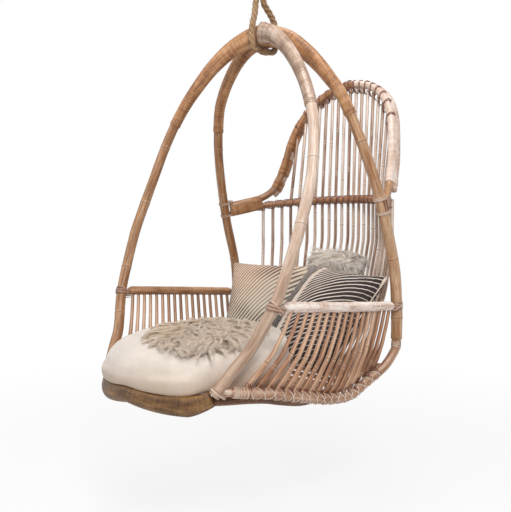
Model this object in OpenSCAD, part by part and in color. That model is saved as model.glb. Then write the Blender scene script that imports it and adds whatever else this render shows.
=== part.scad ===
// Hanging egg chair in rattan: two crossed hoops, a keyhole back, a slatted basket and loose soft goods.
// Everything hangs from a swivel ceiling plate by one rope sling. Units are millimetres.
// The origin is the middle of the ceiling plate's top face, +Z up, -Y is the front, +X the sitter's left.

/* [Overall size] */
// Width across the armrest poles
chair_w = 780; // [700:10:860]
// Depth from the front roll to the back frame
chair_d = 1020; // [940:10:1100]
// Height from the seat's underside to the crown
chair_h = 1190; // [1100:10:1280]
// Drop from the ceiling to the middle of the chair's height
drop = 892; // [880:1:1400]

/* [Rattan poles] */
// Diameter of the hoop poles
hoop_d = 33; // [28:0.5:36]
// Height of the wrapped bundles at the crown
crown_h = 70; // [46:1:74]
// Thickness of the cane wrap on the hoops
wrap_t = 1.5; // [1:0.1:2.5]
// Diameter of the armrests over their wrap
arm_d = 30; // [22:0.5:36]
// Diameter of the side rails
rail_d = 29; // [22:0.5:30]
// Diameter of the rear rail
rear_d = 26; // [20:0.5:30]
// Diameter of the base ring
base_d = 28; // [20:0.5:29]
// Diameter of the middle back rail
mid_d = 23; // [18:0.5:26]
// Diameter of the inner back frame pole
frame_d = 27; // [20:0.5:30]
// Diameter of the outer back frame pole
outer_d = 22; // [16:0.5:26]
// Diameter of the slats
slat_d = 12; // [8:0.5:14]
// Width of the front roll, front to back
roll_w = 38; // [30:1:42]
// Greatest height of the front roll
roll_h = 60; // [46:1:66]

/* [Slats] */
// Slats in each side
side_slats = 17; // [9:2:21]
// Slats on each side of the middle one that reach the top of the back
tall_slats = 8; // [4:1:8]
// Shorter slats on each side of the back
short_slats = 3; // [1:1:3]
// Spacing of the back slats
back_pitch = 27.5; // [24:0.5:28]
// Slats under the seat cushion
seat_slats = 15; // [9:1:17]

/* [Rope and hardware] */
// Diameter of the rope
rope_d = 22; // [16:0.5:24]
// Wire diameter of the hanging ring and the swivel eye
wire_d = 10; // [8:0.5:12]
// Diameter of the hanging ring at the middle of its wire
ring_d = 70; // [66:1:90]
// Diameter of the swivel eye at the middle of its wire
eye_d = 40; // [38:1:56]
// Diameter of the ceiling plate
plate_d = 92; // [84:1:120]
// Thickness of the ceiling plate
plate_t = 6; // [5:0.5:10]
// Diameter of the screw holes in the ceiling plate
screw_d = 7; // [5:0.5:9]
// Pitch circle of the screw holes
screw_pcd = 68; // [64:1:100]
// Diameter of the swivel shank
shank_d = 12; // [10:0.5:14]

/* [Soft goods] */
// Room between the seat cushion and the basket, over the least
cushion_room = 0; // [0:1:25]
// Thickness that the seat cushion's top stands above its seam
cushion_t = 78; // [40:1:90]
// Side of the square pillows
pillow_s = 395; // [350:5:410]
// Thickness of the pillows
pillow_t = 134; // [90:2:140]
// Thickness of the furry throws
throw_t = 30; // [16:1:40]

/* [Clearances] */
// Gap between pieces that rest on each other
gap = 0.4; // [0.3:0.1:0.8]
// Radial play of the swivel shank
play = 0.1; // [0.05:0.05:0.3]
// Thickness of the cane strips in the lashings
cane_t = 1.6; // [1:0.1:2]
// Width of the cane strips in the lashings
cane_w = 5; // [3:0.5:6]

/* [Hidden] */
$fn = 48;

// Stretch of the chair's routes from their drawn size
sx = chair_w / 780;
sy = chair_d / 1020;
sz = chair_h / 1190;
hoop_r = hoop_d / 2;
// The butt of the main hoop, at the back on the left, is a little thicker
thicker = 1.5;
arm_r = arm_d / 2;
rail_r = rail_d / 2;
rear_r = rear_d / 2;
base_r = base_d / 2;
mid_r = mid_d / 2;
frame_r = frame_d / 2;
outer_r = outer_d / 2;
slat_r = slat_d / 2;
rope_r = rope_d / 2;
wire_r = wire_d / 2;
ring_r = ring_d / 2;
eye_r = eye_d / 2;

// Vector and curve functions
function unit(v) = v / norm(v);
function mix(a, b, t) = a + (b - a) * t;
function size3(p) = [p.x * sx, p.y * sy, p.z * sz];
function sized(path) = [for (p = path) size3(p)];
function flip(path) = [for (p = path) [-p.x, p.y, p.z]];
function backward(path) = [for (i = [len(path) - 1:-1:0]) path[i]];
function knot(p, i) =
    i < 0 ? 2 * p[0] - p[1]
    : i >= len(p) ? 2 * p[len(p) - 1] - p[len(p) - 2]
    : p[i];
function spline_at(p, i, t) =
    let (a = knot(p, i - 1), b = knot(p, i), c = knot(p, i + 1), d = knot(p, i + 2))
    0.5 * (2 * b + (c - a) * t + (2 * a - 5 * b + 4 * c - d) * t * t + (3 * b - a - 3 * c + d) * t * t * t);
// Smooth curve through hand-set points, n steps between each pair
function smooth(p, n) = [
    for (i = [0:len(p) - 2]) for (j = [0:n - 1]) spline_at(p, i, j / n),
    p[len(p) - 1]
];
function along(p, i) = unit(p[min(i + 1, len(p) - 1)] - p[max(i - 1, 0)]);
// Point of a path where its axis k has the value v, the path rising along that axis
function find(p, k, v, i = 0) =
    i >= len(p) - 2 || v < p[i + 1][k]
    ? mix(p[i], p[i + 1], (v - p[i][k]) / (p[i + 1][k] - p[i][k]))
    : find(p, k, v, i + 1);
function find_way(p, k, v, i = 0) =
    i >= len(p) - 2 || v < p[i + 1][k] ? unit(p[i + 1] - p[i]) : find_way(p, k, v, i + 1);
function pick(r, i) = is_list(r) ? r[i] : r;

// Solid swept along a path. a is its half size across ref, b its half size towards ref
module tube(path, a, b, sides, ref, turn = 0) {
    n = len(path);
    points = [
        for (i = [0:n - 1])
        let (t = along(path, i), s = unit(cross(t, ref)), v = cross(s, t))
        for (k = [0:sides - 1])
        path[i] + pick(a, i) * cos(turn + 360 * k / sides) * s + pick(b, i) * sin(turn + 360 * k / sides) * v
    ];
    walls = [
        for (i = [0:n - 2]) for (k = [0:sides - 1])
        let (k2 = (k + 1) % sides, q = i * sides)
        each [[q + k, q + sides + k2, q + sides + k], [q + k, q + k2, q + sides + k2]]
    ];
    caps = [
        for (k = [1:sides - 2])
        each [[0, k + 1, k], [(n - 1) * sides, (n - 1) * sides + k, (n - 1) * sides + k + 1]]
    ];
    polyhedron(points, concat(walls, caps), convexity = 8);
}
module rod(path, r, sides = 10, ref = [0, 0, 1]) {
    tube(path, r, r, sides, ref);
}

// The routes of the poles, from the middle of the chair's height, on the sitter's left
leg_front = sized([
    [252, -444, -460], [282, -402, -396], [310, -363, -339], [345, -330, -253], [364, -305, -188],
    [377, -258, -59], [379, -233, 7], [371, -179, 142], [339, -133, 292], [289, -104, 402]
]);
leg_back = sized([
    [286, 66, 403], [326, 99, 281], [354, 141, 148], [369, 183, 9], [373, 226, -133],
    [375, 238, -245], [373, 243, -330], [372, 243, -366]
]);
crown_z = 634;
crown_main = sized([
    [-231, -80, 485], [-169, -58, 553], [-90, -34, 608], [0, -10, crown_z],
    [90, 14, 612], [150, 27, 572], [205, 38, 519], [250, 50, 462]
]);
crown_left = sized([[231, -80, 485], [171, -66, 555], [104, -50, 606], [62, -41, 625], [34, -39.3, 632]]);
crown_right = sized([[-250, 50, 462], [-207, 42, 520], [-153, 36, 574], [-92, 32, 613], [-30, 32, 631], [24, 35, crown_z]]);

hoop_main_path = smooth(concat(flip(leg_front), crown_main, leg_back), 2);
hoop_left_path = smooth(concat(leg_front, crown_left), 2);
hoop_right_path = smooth(concat(flip(backward(leg_back)), crown_right), 2);

arm_route = sized([[364, -286, -221], [378, -220, -226], [387, -90, -235], [388, 40, -244], [383, 140, -251], [377, 214, -256]]);
arm_path = smooth(arm_route, 3);

side_route = sized([
    [276, -398, -453], [297, -349, -460], [313, -287, -469], [321, -212, -486], [325, -129, -505],
    [327, -40, -523], [330, 55, -526], [337, 124, -496], [354, 200, -454], [367, 235, -410], [371, 242, -390], [372, 243, -366.6]
]);
side_path = smooth(side_route, 2);

rear_half = sized([[336.5, 201.5, -456], [290, 222, -478], [180, 240, -489], [90, 249, -492], [0, 252, -492]]);
rear_path = smooth(concat(flip(rear_half), [for (i = [3:-1:0]) rear_half[i]]), 2);

// The front roll runs on an arc from foot to foot, a little higher in the middle
roll_mid = size3([0, -200, 0]);
foot = leg_front[0];
foot_at = atan2(foot.y - roll_mid.y, foot.x);
roll_arc = norm([foot.x, foot.y - roll_mid.y]) - 8;
roll_end = foot_at - asin((hoop_r - 11.8) / roll_arc);
roll_steps = 24;
roll_turn = [for (i = [0:roll_steps]) mix(-180 - roll_end, roll_end, i / roll_steps)];
roll_off = [for (a = roll_turn) abs(a + 90) / (roll_end + 90)];
roll_dip = [for (s = roll_off) s < 0.75 ? 15 * sin(120 * s) : mix(15, -6, pow((s - 0.75) * 4, 1.5))];
roll_path = [for (i = [0:roll_steps]) [roll_arc * cos(roll_turn[i]), roll_mid.y + roll_arc * sin(roll_turn[i]), -476 * sz - roll_dip[i]]];
roll_half_h = [for (s = roll_off) roll_h / 2 * (s < 0.75 ? mix(0.87, 1, s / 0.75) : mix(1, 0.72, (s - 0.75) * 4))];
roll_half_w = [for (s = roll_off) roll_w / 2 * (s < 0.8 ? 1 : mix(1, 0.86, (s - 0.8) * 5))];
base_front = roll_mid.y - roll_arc + roll_w / 2 + base_r - 2 * gap;

base_half = sized([
    [0, base_front / sy, -482], [120, -483, -484], [196, -434, -485], [240, -383, -484], [260, -322, -487],
    [271, -260, -495], [277, -200, -509], [280, -127, -523], [281, -60, -524], [278, 20, -517],
    [262, 100, -503], [215, 160, -494], [120, 194, -488], [0, 204, -486]
]);
base_side = smooth(base_half, 1);
// The base ring is one pole bent round, its ends meeting under the front roll
base_path = concat(
    [base_half[0] + [gap / 2, 0, 0]], [for (i = [1:12]) base_side[i]], [base_half[13]],
    [for (i = [12:-1:1]) [-base_side[i].x, base_side[i].y, base_side[i].z]], [base_half[0] - [gap / 2, 0, 0]]
);

mid_half = sized([[354, 187, 50], [326, 240, 62], [289, 301, 80], [200, 376, 92], [100, 430, 98], [0, 447, 100]]);
mid_path = smooth(concat(flip(mid_half), [for (i = [4:-1:0]) mid_half[i]]), 3);
mid_side = backward(smooth(mid_half, 3));

frame_half = sized([
    [351, 187, 78], [326, 236, 91], [298, 290, 106], [275, 336, 136], [264, 358, 174], [253, 384, 238],
    [241, 402, 310], [222, 423, 378], [189, 445, 440], [140, 464, 488], [78, 475, 520], [0, 478, 533]
]);
frame_path = smooth(concat(flip(frame_half), [for (i = [10:-1:0]) frame_half[i]]), 2);
frame_top = smooth([for (i = [11:-1:5]) frame_half[i]], 2);

// Hardware heights below the ceiling
boss_d = shank_d + 18;
boss_h = 20;
head_d = shank_d + 8;
head_h = 5;
eye_mid = -plate_t - boss_h - 8 - wire_r - eye_r;
eye_low = eye_mid - eye_r;
ring_mid = eye_low + 2 * wire_r + gap - ring_r;
ring_low = ring_mid - ring_r;
// The chair hangs so that its weight is under the ring
hang_y = -10; // [-30:1:30]

module at_chair() {
    translate([0, -hang_y, -drop])
    children();
}

// The rope: under the crown, up its front, over the ring's wire and down the back
ring_z = drop + ring_low;
over_r = wire_r + rope_r + gap;
wrap_r = hoop_r + gap + wrap_t;
crown_low = crown_z * sz - 0.36 * (crown_h / 2 - wrap_r) - crown_h / 2;
crown_front = -14 * sy - wrap_r - rope_r - gap;
crown_back = 36 * sy + wrap_r + rope_r + gap;
rope_low = crown_low - rope_r - 2 * gap;
rope_mid = (crown_front + crown_back) / 2;
rope_route = concat(
    [[-2, rope_mid - 0.3, rope_low], [-2, rope_mid - 8, rope_low], [-2, rope_mid - 20, rope_low]],
    [[-2, crown_front + 15, rope_low + 3], [-2, crown_front + 5, rope_low + 11], [-2, crown_front, rope_low + 26]],
    [[-2, crown_front, rope_low + 50], [-2, crown_front, rope_low + 76]],
    [[-1, mix(crown_front, -over_r, 0.35), mix(rope_low + 76, ring_z, 0.42)]],
    [[0, -over_r - 3 + hang_y, ring_z - 14], [0, -over_r + hang_y, ring_z]],
    [for (a = [150, 120, 90, 60, 30]) [0, over_r * cos(a) + hang_y, ring_z + over_r * sin(a)]],
    [[0, over_r + hang_y, ring_z], [0, over_r + 3 + hang_y, ring_z - 14]],
    [[0, mix(crown_back, over_r, 0.35), mix(rope_low + 76, ring_z, 0.42)]],
    [[1, crown_back, rope_low + 76], [1, crown_back, rope_low + 50]],
    [[1, crown_back, rope_low + 26], [0, crown_back - 5, rope_low + 11], [-1, crown_back - 15, rope_low + 3]],
    [[-2, rope_mid + 20, rope_low], [-2, rope_mid + 8, rope_low], [-2, rope_mid + 0.3, rope_low]]
);
rope_path = smooth(rope_route, 2);

module ceiling_plate() {
    color([0.16, 0.16, 0.17])
    difference() {
        union() {
            translate([0, 0, -plate_t]) cylinder(d = plate_d, h = plate_t);
            translate([0, 0, -plate_t - boss_h]) cylinder(d = boss_d, h = boss_h + 1);
        }
        for (a = [45:90:315])
            rotate(a) translate([screw_pcd / 2, 0, -plate_t - 1]) cylinder(d = screw_d, h = plate_t + 2);
        translate([0, 0, -plate_t - boss_h - 1]) cylinder(d = shank_d + 2 * play, h = boss_h);
        translate([0, 0, -plate_t - 8]) cylinder(d = head_d + 2 * play, h = head_h + 2);
    }
}

module swivel_eye() {
    color([0.72, 0.72, 0.74])
    union() {
        translate([0, 0, -plate_t - 8 + gap / 2]) cylinder(d = head_d, h = head_h);
        translate([0, 0, -plate_t - boss_h - 10]) cylinder(d = shank_d, h = boss_h + 4);
        translate([0, 0, eye_mid]) rotate([0, 90, 0]) rotate_extrude() translate([eye_r, 0]) circle(d = wire_d);
        translate([0, 0, eye_mid + eye_r - 1]) cylinder(d = shank_d + 4, h = wire_r + 8.6);
    }
}

module hanging_ring() {
    color([0.72, 0.72, 0.74])
    translate([0, 0, ring_mid])
    rotate([90, 0, 0])
    rotate_extrude()
    translate([ring_r, 0])
    circle(d = wire_d);
}

module hanging_rope() {
    color([0.55, 0.38, 0.2])
    at_chair()
    rod(rope_path, rope_r, 8, [1, 0, 0]);
}

module rope_whipping() {
    color([0.5, 0.34, 0.18])
    at_chair()
    translate([-2, rope_mid + 14, rope_low])
    rotate([90, 0, 0])
    difference() {
        cylinder(r = rope_r + 2.6, h = 28);
        translate([0, 0, -1]) cylinder(r = rope_r + gap, h = 30);
    }
}

hoop_normal = unit([-0.28, 1, 0]);
left_normal = unit([-0.28, -1, 0]);
right_normal = unit([0.28, 1, 0]);

module hoop_main() {
    color([0.72, 0.5, 0.3])
    at_chair()
    rod(hoop_main_path, [for (i = [0:len(hoop_main_path) - 1]) hoop_r + (i > 38 ? thicker * min(1, (i - 38) / 4) : 0)], 8, hoop_normal);
}

module hoop_left() {
    color([0.86, 0.72, 0.6])
    at_chair()
    rod(hoop_left_path, hoop_r, 8, left_normal);
}

module hoop_right() {
    color([0.68, 0.47, 0.28])
    at_chair()
    rod(hoop_right_path, hoop_r, 8, right_normal);
}

// Cane wrap over a hoop pole and the packing under it: a hollow sleeve, deeper towards the crown
module wrap(path, i0, i1, i2, ref) {
    n = i2 - i0 + 1;
    inner = hoop_r + gap;
    deep = [for (i = [i0:i2]) let (q = i < i1 ? (i - i0) / (i1 - i0) : i1 == i2 ? 1 : (i2 - i) / (i2 - i1))
        mix(inner + wrap_t, crown_h / 2, pow(q, 1.3))];
    function ring(i, a, b, low) =
        let (t = along(path, i), s = unit(cross(t, ref)), v = cross(s, t))
        [for (k = [0:7]) path[i] - low * s + a * cos(45 * k) * s + b * sin(45 * k) * v];
    points = [
        for (i = [i0:i2])
        let (a = deep[i - i0])
        each concat(ring(i, a, inner + wrap_t, 0.36 * (a - inner - wrap_t)), ring(i, inner, inner, 0))
    ];
    walls = [
        for (i = [0:n - 2]) for (k = [0:7])
        let (k2 = (k + 1) % 8, q = i * 16, r = q + 8)
        each [
            [q + k, q + 16 + k2, q + 16 + k], [q + k, q + k2, q + 16 + k2],
            [r + k, r + 16 + k, r + 16 + k2], [r + k, r + 16 + k2, r + k2]
        ]
    ];
    caps = [
        for (k = [0:7])
        let (k2 = (k + 1) % 8, e = (n - 1) * 16)
        each [
            [k, 8 + k, 8 + k2], [k, 8 + k2, k2],
            [e + k, e + 8 + k2, e + 8 + k], [e + k, e + k2, e + 8 + k2]
        ]
    ];
    polyhedron(points, concat(walls, caps), convexity = 8);
}

module crown_wrap_main() {
    color([0.7, 0.48, 0.28])
    at_chair()
    wrap(hoop_main_path, 17, 26, 37, hoop_normal);
}

module crown_wrap_left() {
    color([0.84, 0.7, 0.57])
    at_chair()
    wrap(hoop_left_path, 17, 28, 28, left_normal);
}

module crown_wrap_right() {
    color([0.66, 0.45, 0.26])
    at_chair()
    wrap(hoop_right_path, 13, 26, 26, right_normal);
}

arm_thin = [for (i = [0:len(arm_path) - 1]) arm_r * (i == 0 || i == len(arm_path) - 1 ? 0.7 : 1)];

module armrest_left() {
    color([0.88, 0.77, 0.65])
    at_chair()
    rod(arm_path, arm_thin);
}

module armrest_right() {
    color([0.66, 0.44, 0.25])
    at_chair()
    rod(flip(arm_path), arm_thin);
}

module back_rail() {
    color([0.62, 0.4, 0.24])
    at_chair()
    rod(mid_path, mid_r, 8);
}

module back_frame() {
    color([0.8, 0.62, 0.48])
    at_chair()
    rod(frame_path, frame_r, 8, [0, -1, 0]);
}

// The outer pole follows the inner one just behind it
function behind(path, i) = let (t = along(path, i)) unit([0, 1, 0] - t.y * t);
module back_frame_outer() {
    color([0.82, 0.65, 0.52])
    at_chair()
    rod([for (i = [6:len(frame_path) - 7]) frame_path[i] + (frame_r + outer_r + gap) * behind(frame_path, i)], outer_r, 8, [0, -1, 0]);
}

module side_rail_left() {
    color([0.8, 0.6, 0.44])
    at_chair()
    rod(side_path, rail_r, 8, [1, 0, 0]);
}

module side_rail_right() {
    color([0.66, 0.44, 0.26])
    at_chair()
    rod(flip(side_path), rail_r, 8, [1, 0, 0]);
}

module rear_rail() {
    color([0.66, 0.44, 0.26])
    at_chair()
    rod(rear_path, rear_r, 8);
}

module base_ring() {
    color([0.45, 0.28, 0.15])
    at_chair()
    rod(base_path, base_r, 8);
}

module front_roll() {
    color([0.6, 0.43, 0.26])
    at_chair()
    tube(roll_path, roll_half_w, roll_half_h, 12, [0, 0, 1]);
}

// Seat slats lie across the base ring
function seat_y(i) = mix(base_half[0].y + 62, base_half[13].y - 62, i / (seat_slats - 1));
function seat_z(y) = find(base_side, 1, y).z + base_r + slat_r + 2 * gap;

module seat_slats() {
    color([0.6, 0.42, 0.26])
    at_chair()
    for (i = [0:seat_slats - 1]) {
        y = seat_y(i);
        x = find(base_side, 1, y).x;
        translate([-x - 3, y, seat_z(y)])
        rotate([0, 90, 0])
        cylinder(r = slat_r, h = 2 * x + 6, $fn = 16);
    }
}

// Back slats: under the frame, behind the middle rail, then forward to the rear rail
function frame_end(x) =
    let (p = find(frame_top, 0, x), t = find_way(frame_top, 0, x), c = abs(t.z), s = sqrt(1 - c * c))
    [p.x, p.y, p.z - (frame_r + gap + slat_r * c + 2) / s];
function back_route(x) =
    let (
        tall = x < (tall_slats + 0.5) * back_pitch,
        m = find(mid_side, 0, x),
        rest = (mid_r + slat_r + 1.3) / abs(find_way(mid_side, 0, x).x),
        b = find(backward(smooth(rear_half, 2)), 0, 0.86 * x),
        low = [b.x, b.y - rear_r - slat_r - 0.8, b.z],
        top = tall ? [frame_end(x)] : [[x, m.y + rest, m.z + mid_r + 3]]
    )
    concat(
        top,
        [
            [x, m.y + rest, m.z], [x, m.y + rest, m.z - 150 * sz],
            [mix(x, b.x, 0.3), mix(m.y + rest, low.y, 0.16), mix(m.z, low.z, 0.52)],
            [mix(x, b.x, 0.75), mix(m.y + rest, low.y, 0.58), mix(m.z, low.z, 0.8)],
            low + [0, 4, 22], low + [0, -2, -14]
        ]
    );

module back_slats() {
    color([0.78, 0.6, 0.45])
    at_chair()
    for (i = [-tall_slats - short_slats:tall_slats + short_slats]) {
        route = back_route(abs(i) * back_pitch);
        rod(i < 0 ? flip(route) : route, slat_r, 6, [1, 0, 0]);
    }
}

// Side slats: under the armrest, sweeping down and in to the inner face of the side rail
hold = rail_r + slat_r + 1.8;
slat_first = -262 * sy;
slat_last = 190 * sy;
function arm_y(i) = mix(slat_first, slat_last, i / (side_slats - 1));
function rail_y(i) = mix(-352 * sy, 172 * sy, pow(i / (side_slats - 1), 0.96));
function side_slat_route(i) =
    let (
        a = find(arm_path, 1, arm_y(i)),
        b = find(side_path, 1, rail_y(i)),
        t = find_way(side_path, 1, rail_y(i)),
        w = unit(cross(t, [0, 0, 1])),
        s = b + 0.72 * hold * (cross(w, t) - w)
    )
    [
        a - [0, 0, arm_r + 1],
        [mix(a.x, s.x, 0.16), mix(a.y, b.y, 0.14), mix(a.z, s.z, 0.3)],
        [mix(a.x, s.x, 0.42), mix(a.y, b.y, 0.4), mix(a.z, s.z, 0.6)],
        [mix(a.x, s.x, 0.74), mix(a.y, b.y, 0.74), mix(a.z, s.z, 0.85)],
        s,
        b - hold * w - [0, 0, 2],
        b - hold * w - [0, 0, 18]
    ];

module side_slats_left() {
    color([0.76, 0.55, 0.4])
    at_chair()
    for (i = [0:side_slats - 1])
        rod(side_slat_route(i), slat_r, 6, [0, 1, 0]);
}

module side_slats_right() {
    color([0.64, 0.42, 0.25])
    at_chair()
    for (i = [0:side_slats - 1])
        rod(flip(side_slat_route(i)), slat_r, 6, [0, 1, 0]);
}

// Flat cane wound round a pole. Its inner face is one gap off the pole
function wound(r, n) = (r + gap + cane_t / 2) / cos(180 / n);
// One turn for each gap between side slats, so that the cane passes between them
rail_turns = side_slats - 1;
rail_steps = 8;
rail_wind = [
    for (k = [0:rail_turns * rail_steps])
    let (
        s = k / rail_steps,
        p = find(side_path, 1, rail_y(s)),
        t = find_way(side_path, 1, rail_y(s)),
        u = unit(cross(t, [0, 0, 1])),
        v = cross(u, t),
        a = 360 * s,
        r = wound(rail_r, rail_steps)
    )
    p + r * (cos(a) * u + sin(a) * v)
];

module rail_strip(path, side) {
    axis = [for (k = [0:len(path) - 1])
        let (s = k / rail_steps, p = find(side_path, 1, rail_y(s))) [side * p.x, p.y, p.z]];
    flat(path, axis);
}

// Strip whose flat face looks at the axis point of each ring
module flat(path, axis) {
    n = len(path);
    points = [
        for (i = [0:n - 1])
        let (
            t = along(path, i),
            o = unit((path[i] - axis[i]) - ((path[i] - axis[i]) * t) * t),
            w = cross(t, o)
        )
        each [
            path[i] - o * cane_t / 2 - w * cane_w / 2,
            path[i] - o * cane_t / 2 + w * cane_w / 2,
            path[i] + o * cane_t / 2 + w * cane_w / 2,
            path[i] + o * cane_t / 2 - w * cane_w / 2
        ]
    ];
    walls = [
        for (i = [0:n - 2]) for (k = [0:3])
        let (k2 = (k + 1) % 4, q = i * 4)
        each [[q + k, q + 4 + k2, q + 4 + k], [q + k, q + k2, q + 4 + k2]]
    ];
    caps = [[0, 2, 1], [0, 3, 2], [4 * n - 4, 4 * n - 3, 4 * n - 2], [4 * n - 4, 4 * n - 2, 4 * n - 1]];
    polyhedron(points, concat(walls, caps), convexity = 8);
}

module rail_lashing_left() {
    color([0.9, 0.8, 0.66])
    at_chair()
    rail_strip(rail_wind, 1);
}

module rail_lashing_right() {
    color([0.9, 0.8, 0.66])
    at_chair()
    rail_strip(flip(rail_wind), -1);
}

// Turns of cane round a pole at a point of its route
module lashing(path, k, v, r, turns) {
    steps = 10;
    c = find(path, k, v);
    t = find_way(path, k, v);
    u = unit(cross(t, [1, 0, 0]));
    w = cross(u, t);
    pitch = cane_w + 1.6;
    count = round(turns * steps);
    axis = [for (i = [0:count]) c + t * pitch * (i / steps - turns / 2)];
    turned = [for (i = [0:count]) axis[i] + wound(r, steps) * (cos(36 * i) * u + sin(36 * i) * w)];
    flat(turned, axis);
}

front_up = smooth(leg_front, 2);
back_up = backward(smooth(leg_back, 2));

module arm_lashings() {
    color([0.85, 0.72, 0.56])
    at_chair()
    for (m = [0, 1]) mirror([m, 0, 0]) {
        lashing(front_up, 2, arm_path[0].z, hoop_r + 0.3, 3.5);
        lashing(back_up, 2, arm_path[len(arm_path) - 1].z, hoop_r + (m ? 0 : thicker), 2.5);
    }
}

module back_lashings() {
    color([0.88, 0.76, 0.6])
    at_chair()
    for (m = [0, 1]) mirror([m, 0, 0])
        lashing(back_up, 2, 62 * sz, hoop_r + (m ? 0 : thicker), 2.5);
}

module foot_lashings() {
    color([0.88, 0.76, 0.6])
    at_chair()
    for (m = [0, 1]) mirror([m, 0, 0]) {
        lashing(front_up, 2, foot.z + 26, hoop_r, 1.5);
        lashing(side_path, 2, -392 * sz, rail_r + 0.5, 2.5);
    }
}

// Seat cushion: crowned on top, drawn in at the legs, bulging out over the front roll
cushion_mid = size3([0, -270, 0]);
seam_z = -402 * sz;
// Reach of its edge for each turn away from the front
cushion_reach = [
    [0, 302], [22, 307], [38, 314], [46, 306], [55, 286], [66, 277], [78, 289], [90, 294], [120, 284], [150, 276], [180, 274]
];
function cushion_edge(a) = (lookup(abs(a + 90), cushion_reach) - cushion_room) * [cos(a) * sx, sin(a) * sy];
function seam_at(y) = seam_z + 0.07 * (y - cushion_mid.y);
// The underside lies on the seat slats and steps up over the front roll
function cushion_low(x, y) =
    let (
        slats = seat_z(min(max(y, base_half[0].y + 1), base_half[13].y - 1)) + slat_r + 5.5 * gap,
        r = norm([x, y - roll_mid.y]) - roll_arc,
        t = min(1, max(0, (r + roll_w / 2 + 30) / 22))
    )
    y > cushion_mid.y ? slats : mix(slats, max(slats, lookup(atan2(y - roll_mid.y, x), roll_top)), t * t * (3 - 2 * t));
// Height of the roll's top over its turn
roll_top = [for (i = [0:roll_steps]) [roll_turn[i], roll_path[i].z + roll_half_h[i] + 3 * gap]];
function cushion_top(x, y) =
    let (q = min(1, norm([x / sx, (y - cushion_mid.y) / sy]) / 300))
    seam_at(y) + cushion_t * sqrt(max(0, 1 - pow(q, 6))) - 8 * (1 - q * q);
cushion_spans = [
    [0.3, -1], [0.56, -1], [0.7, -1], [0.8, -1], [0.88, -1], [0.955, -0.86], [0.992, -0.55],
    [1, 0], [0.975, 1], [0.9, 1], [0.76, 1], [0.55, 1], [0.3, 1]
];
cushion_n = 40;

module seat_cushion() {
    color([0.93, 0.9, 0.85])
    at_chair() {
        ring = [
            for (s = cushion_spans) for (k = [0:cushion_n - 1])
            let (
                a = 360 * k / cushion_n - 270,
                q = s[0],
                e = cushion_edge(a),
                x = q * e.x,
                y = cushion_mid.y + q * e.y,
                z = s[1] > 0 ? cushion_top(x, y) : mix(seam_at(y), cushion_low(x, y), -s[1])
            )
            [x, y, z]
        ];
        n = cushion_n;
        m = len(cushion_spans);
        points = concat(ring, [[0, cushion_mid.y, cushion_low(0, cushion_mid.y)], [0, cushion_mid.y, cushion_top(0, cushion_mid.y)]]);
        faces = concat(
            [for (i = [0:m - 2]) for (k = [0:n - 1])
                let (k2 = (k + 1) % n, q = i * n)
                each [[q + k, q + n + k2, q + k2], [q + k, q + n + k, q + n + k2]]],
            [for (k = [0:n - 1]) [m * n, k, (k + 1) % n]],
            [for (k = [0:n - 1]) [m * n + 1, (m - 1) * n + (k + 1) % n, (m - 1) * n + k]]
        );
        polyhedron(points, faces, convexity = 4);
    }
}

// Square pillow, crowned, with its sides drawn in between the corners.
// front and back say how much that face is pressed flat towards its left (+) or right (-) side
pillow_n = 10;
module pillow(front = 0, back = 0) {
    g = [for (i = [0:pillow_n]) -cos(180 * i / pillow_n)];
    function px(u, v) = pillow_s / 2 * u * (1 - 0.07 * (1 - v * v) * u * u);
    function bulge(u, v, p) =
        2 + (pillow_t / 2 - 2) * pow((1 - u * u) * (1 - v * v), 0.45) * (1 - min(0.85, max(0, u * p + 0.15 * abs(p))));
    m = pillow_n + 1;
    points = concat(
        [for (u = g) for (v = g) [px(u, v), -bulge(u, v, front), px(v, u)]],
        [for (u = g) for (v = g) [px(u, v), bulge(u, v, back), px(v, u)]]
    );
    w = m * m;
    faces = concat(
        [for (i = [0:m - 2]) for (j = [0:m - 2])
            let (a = i * m + j, b = a + 1, c = a + m, d = c + 1)
            each [[a, b, d], [a, d, c], [w + a, w + d, w + b], [w + a, w + c, w + d]]],
        [for (j = [0:m - 2])
            let (a = j, b = j + 1, c = (m - 1) * m + j, d = c + 1)
            each [[a, w + a, w + b], [a, w + b, b], [c, d, w + d], [c, w + d, w + c]]],
        [for (i = [0:m - 2])
            let (a = i * m, b = a + m, c = i * m + m - 1, d = c + m)
            each [[a, b, w + b], [a, w + b, w + a], [c, w + c, w + d], [c, w + d, d]]]
    );
    polyhedron(points, faces, convexity = 4);
}

// The pillows stand on the seat slats; up is the height of a pillow's middle as a share of its side
function pillow_z(up) = seat_z(100 * sy) + slat_r + up * pillow_s;

module pillow_left() {
    color([0.85, 0.76, 0.66])
    at_chair()
    translate([122.5 * sx, 150.7 * sy, pillow_z(0.43)])
    rotate([-38, 0, -8])
    rotate([0, 5, 0])
    pillow(back = -1);
}

module pillow_right() {
    color([0.83, 0.71, 0.6])
    at_chair()
    translate([-135 * sx, 208 * sy, pillow_z(0.4264)])
    rotate([-32.7, 0, 28])
    pillow(front = 1);
}

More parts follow.
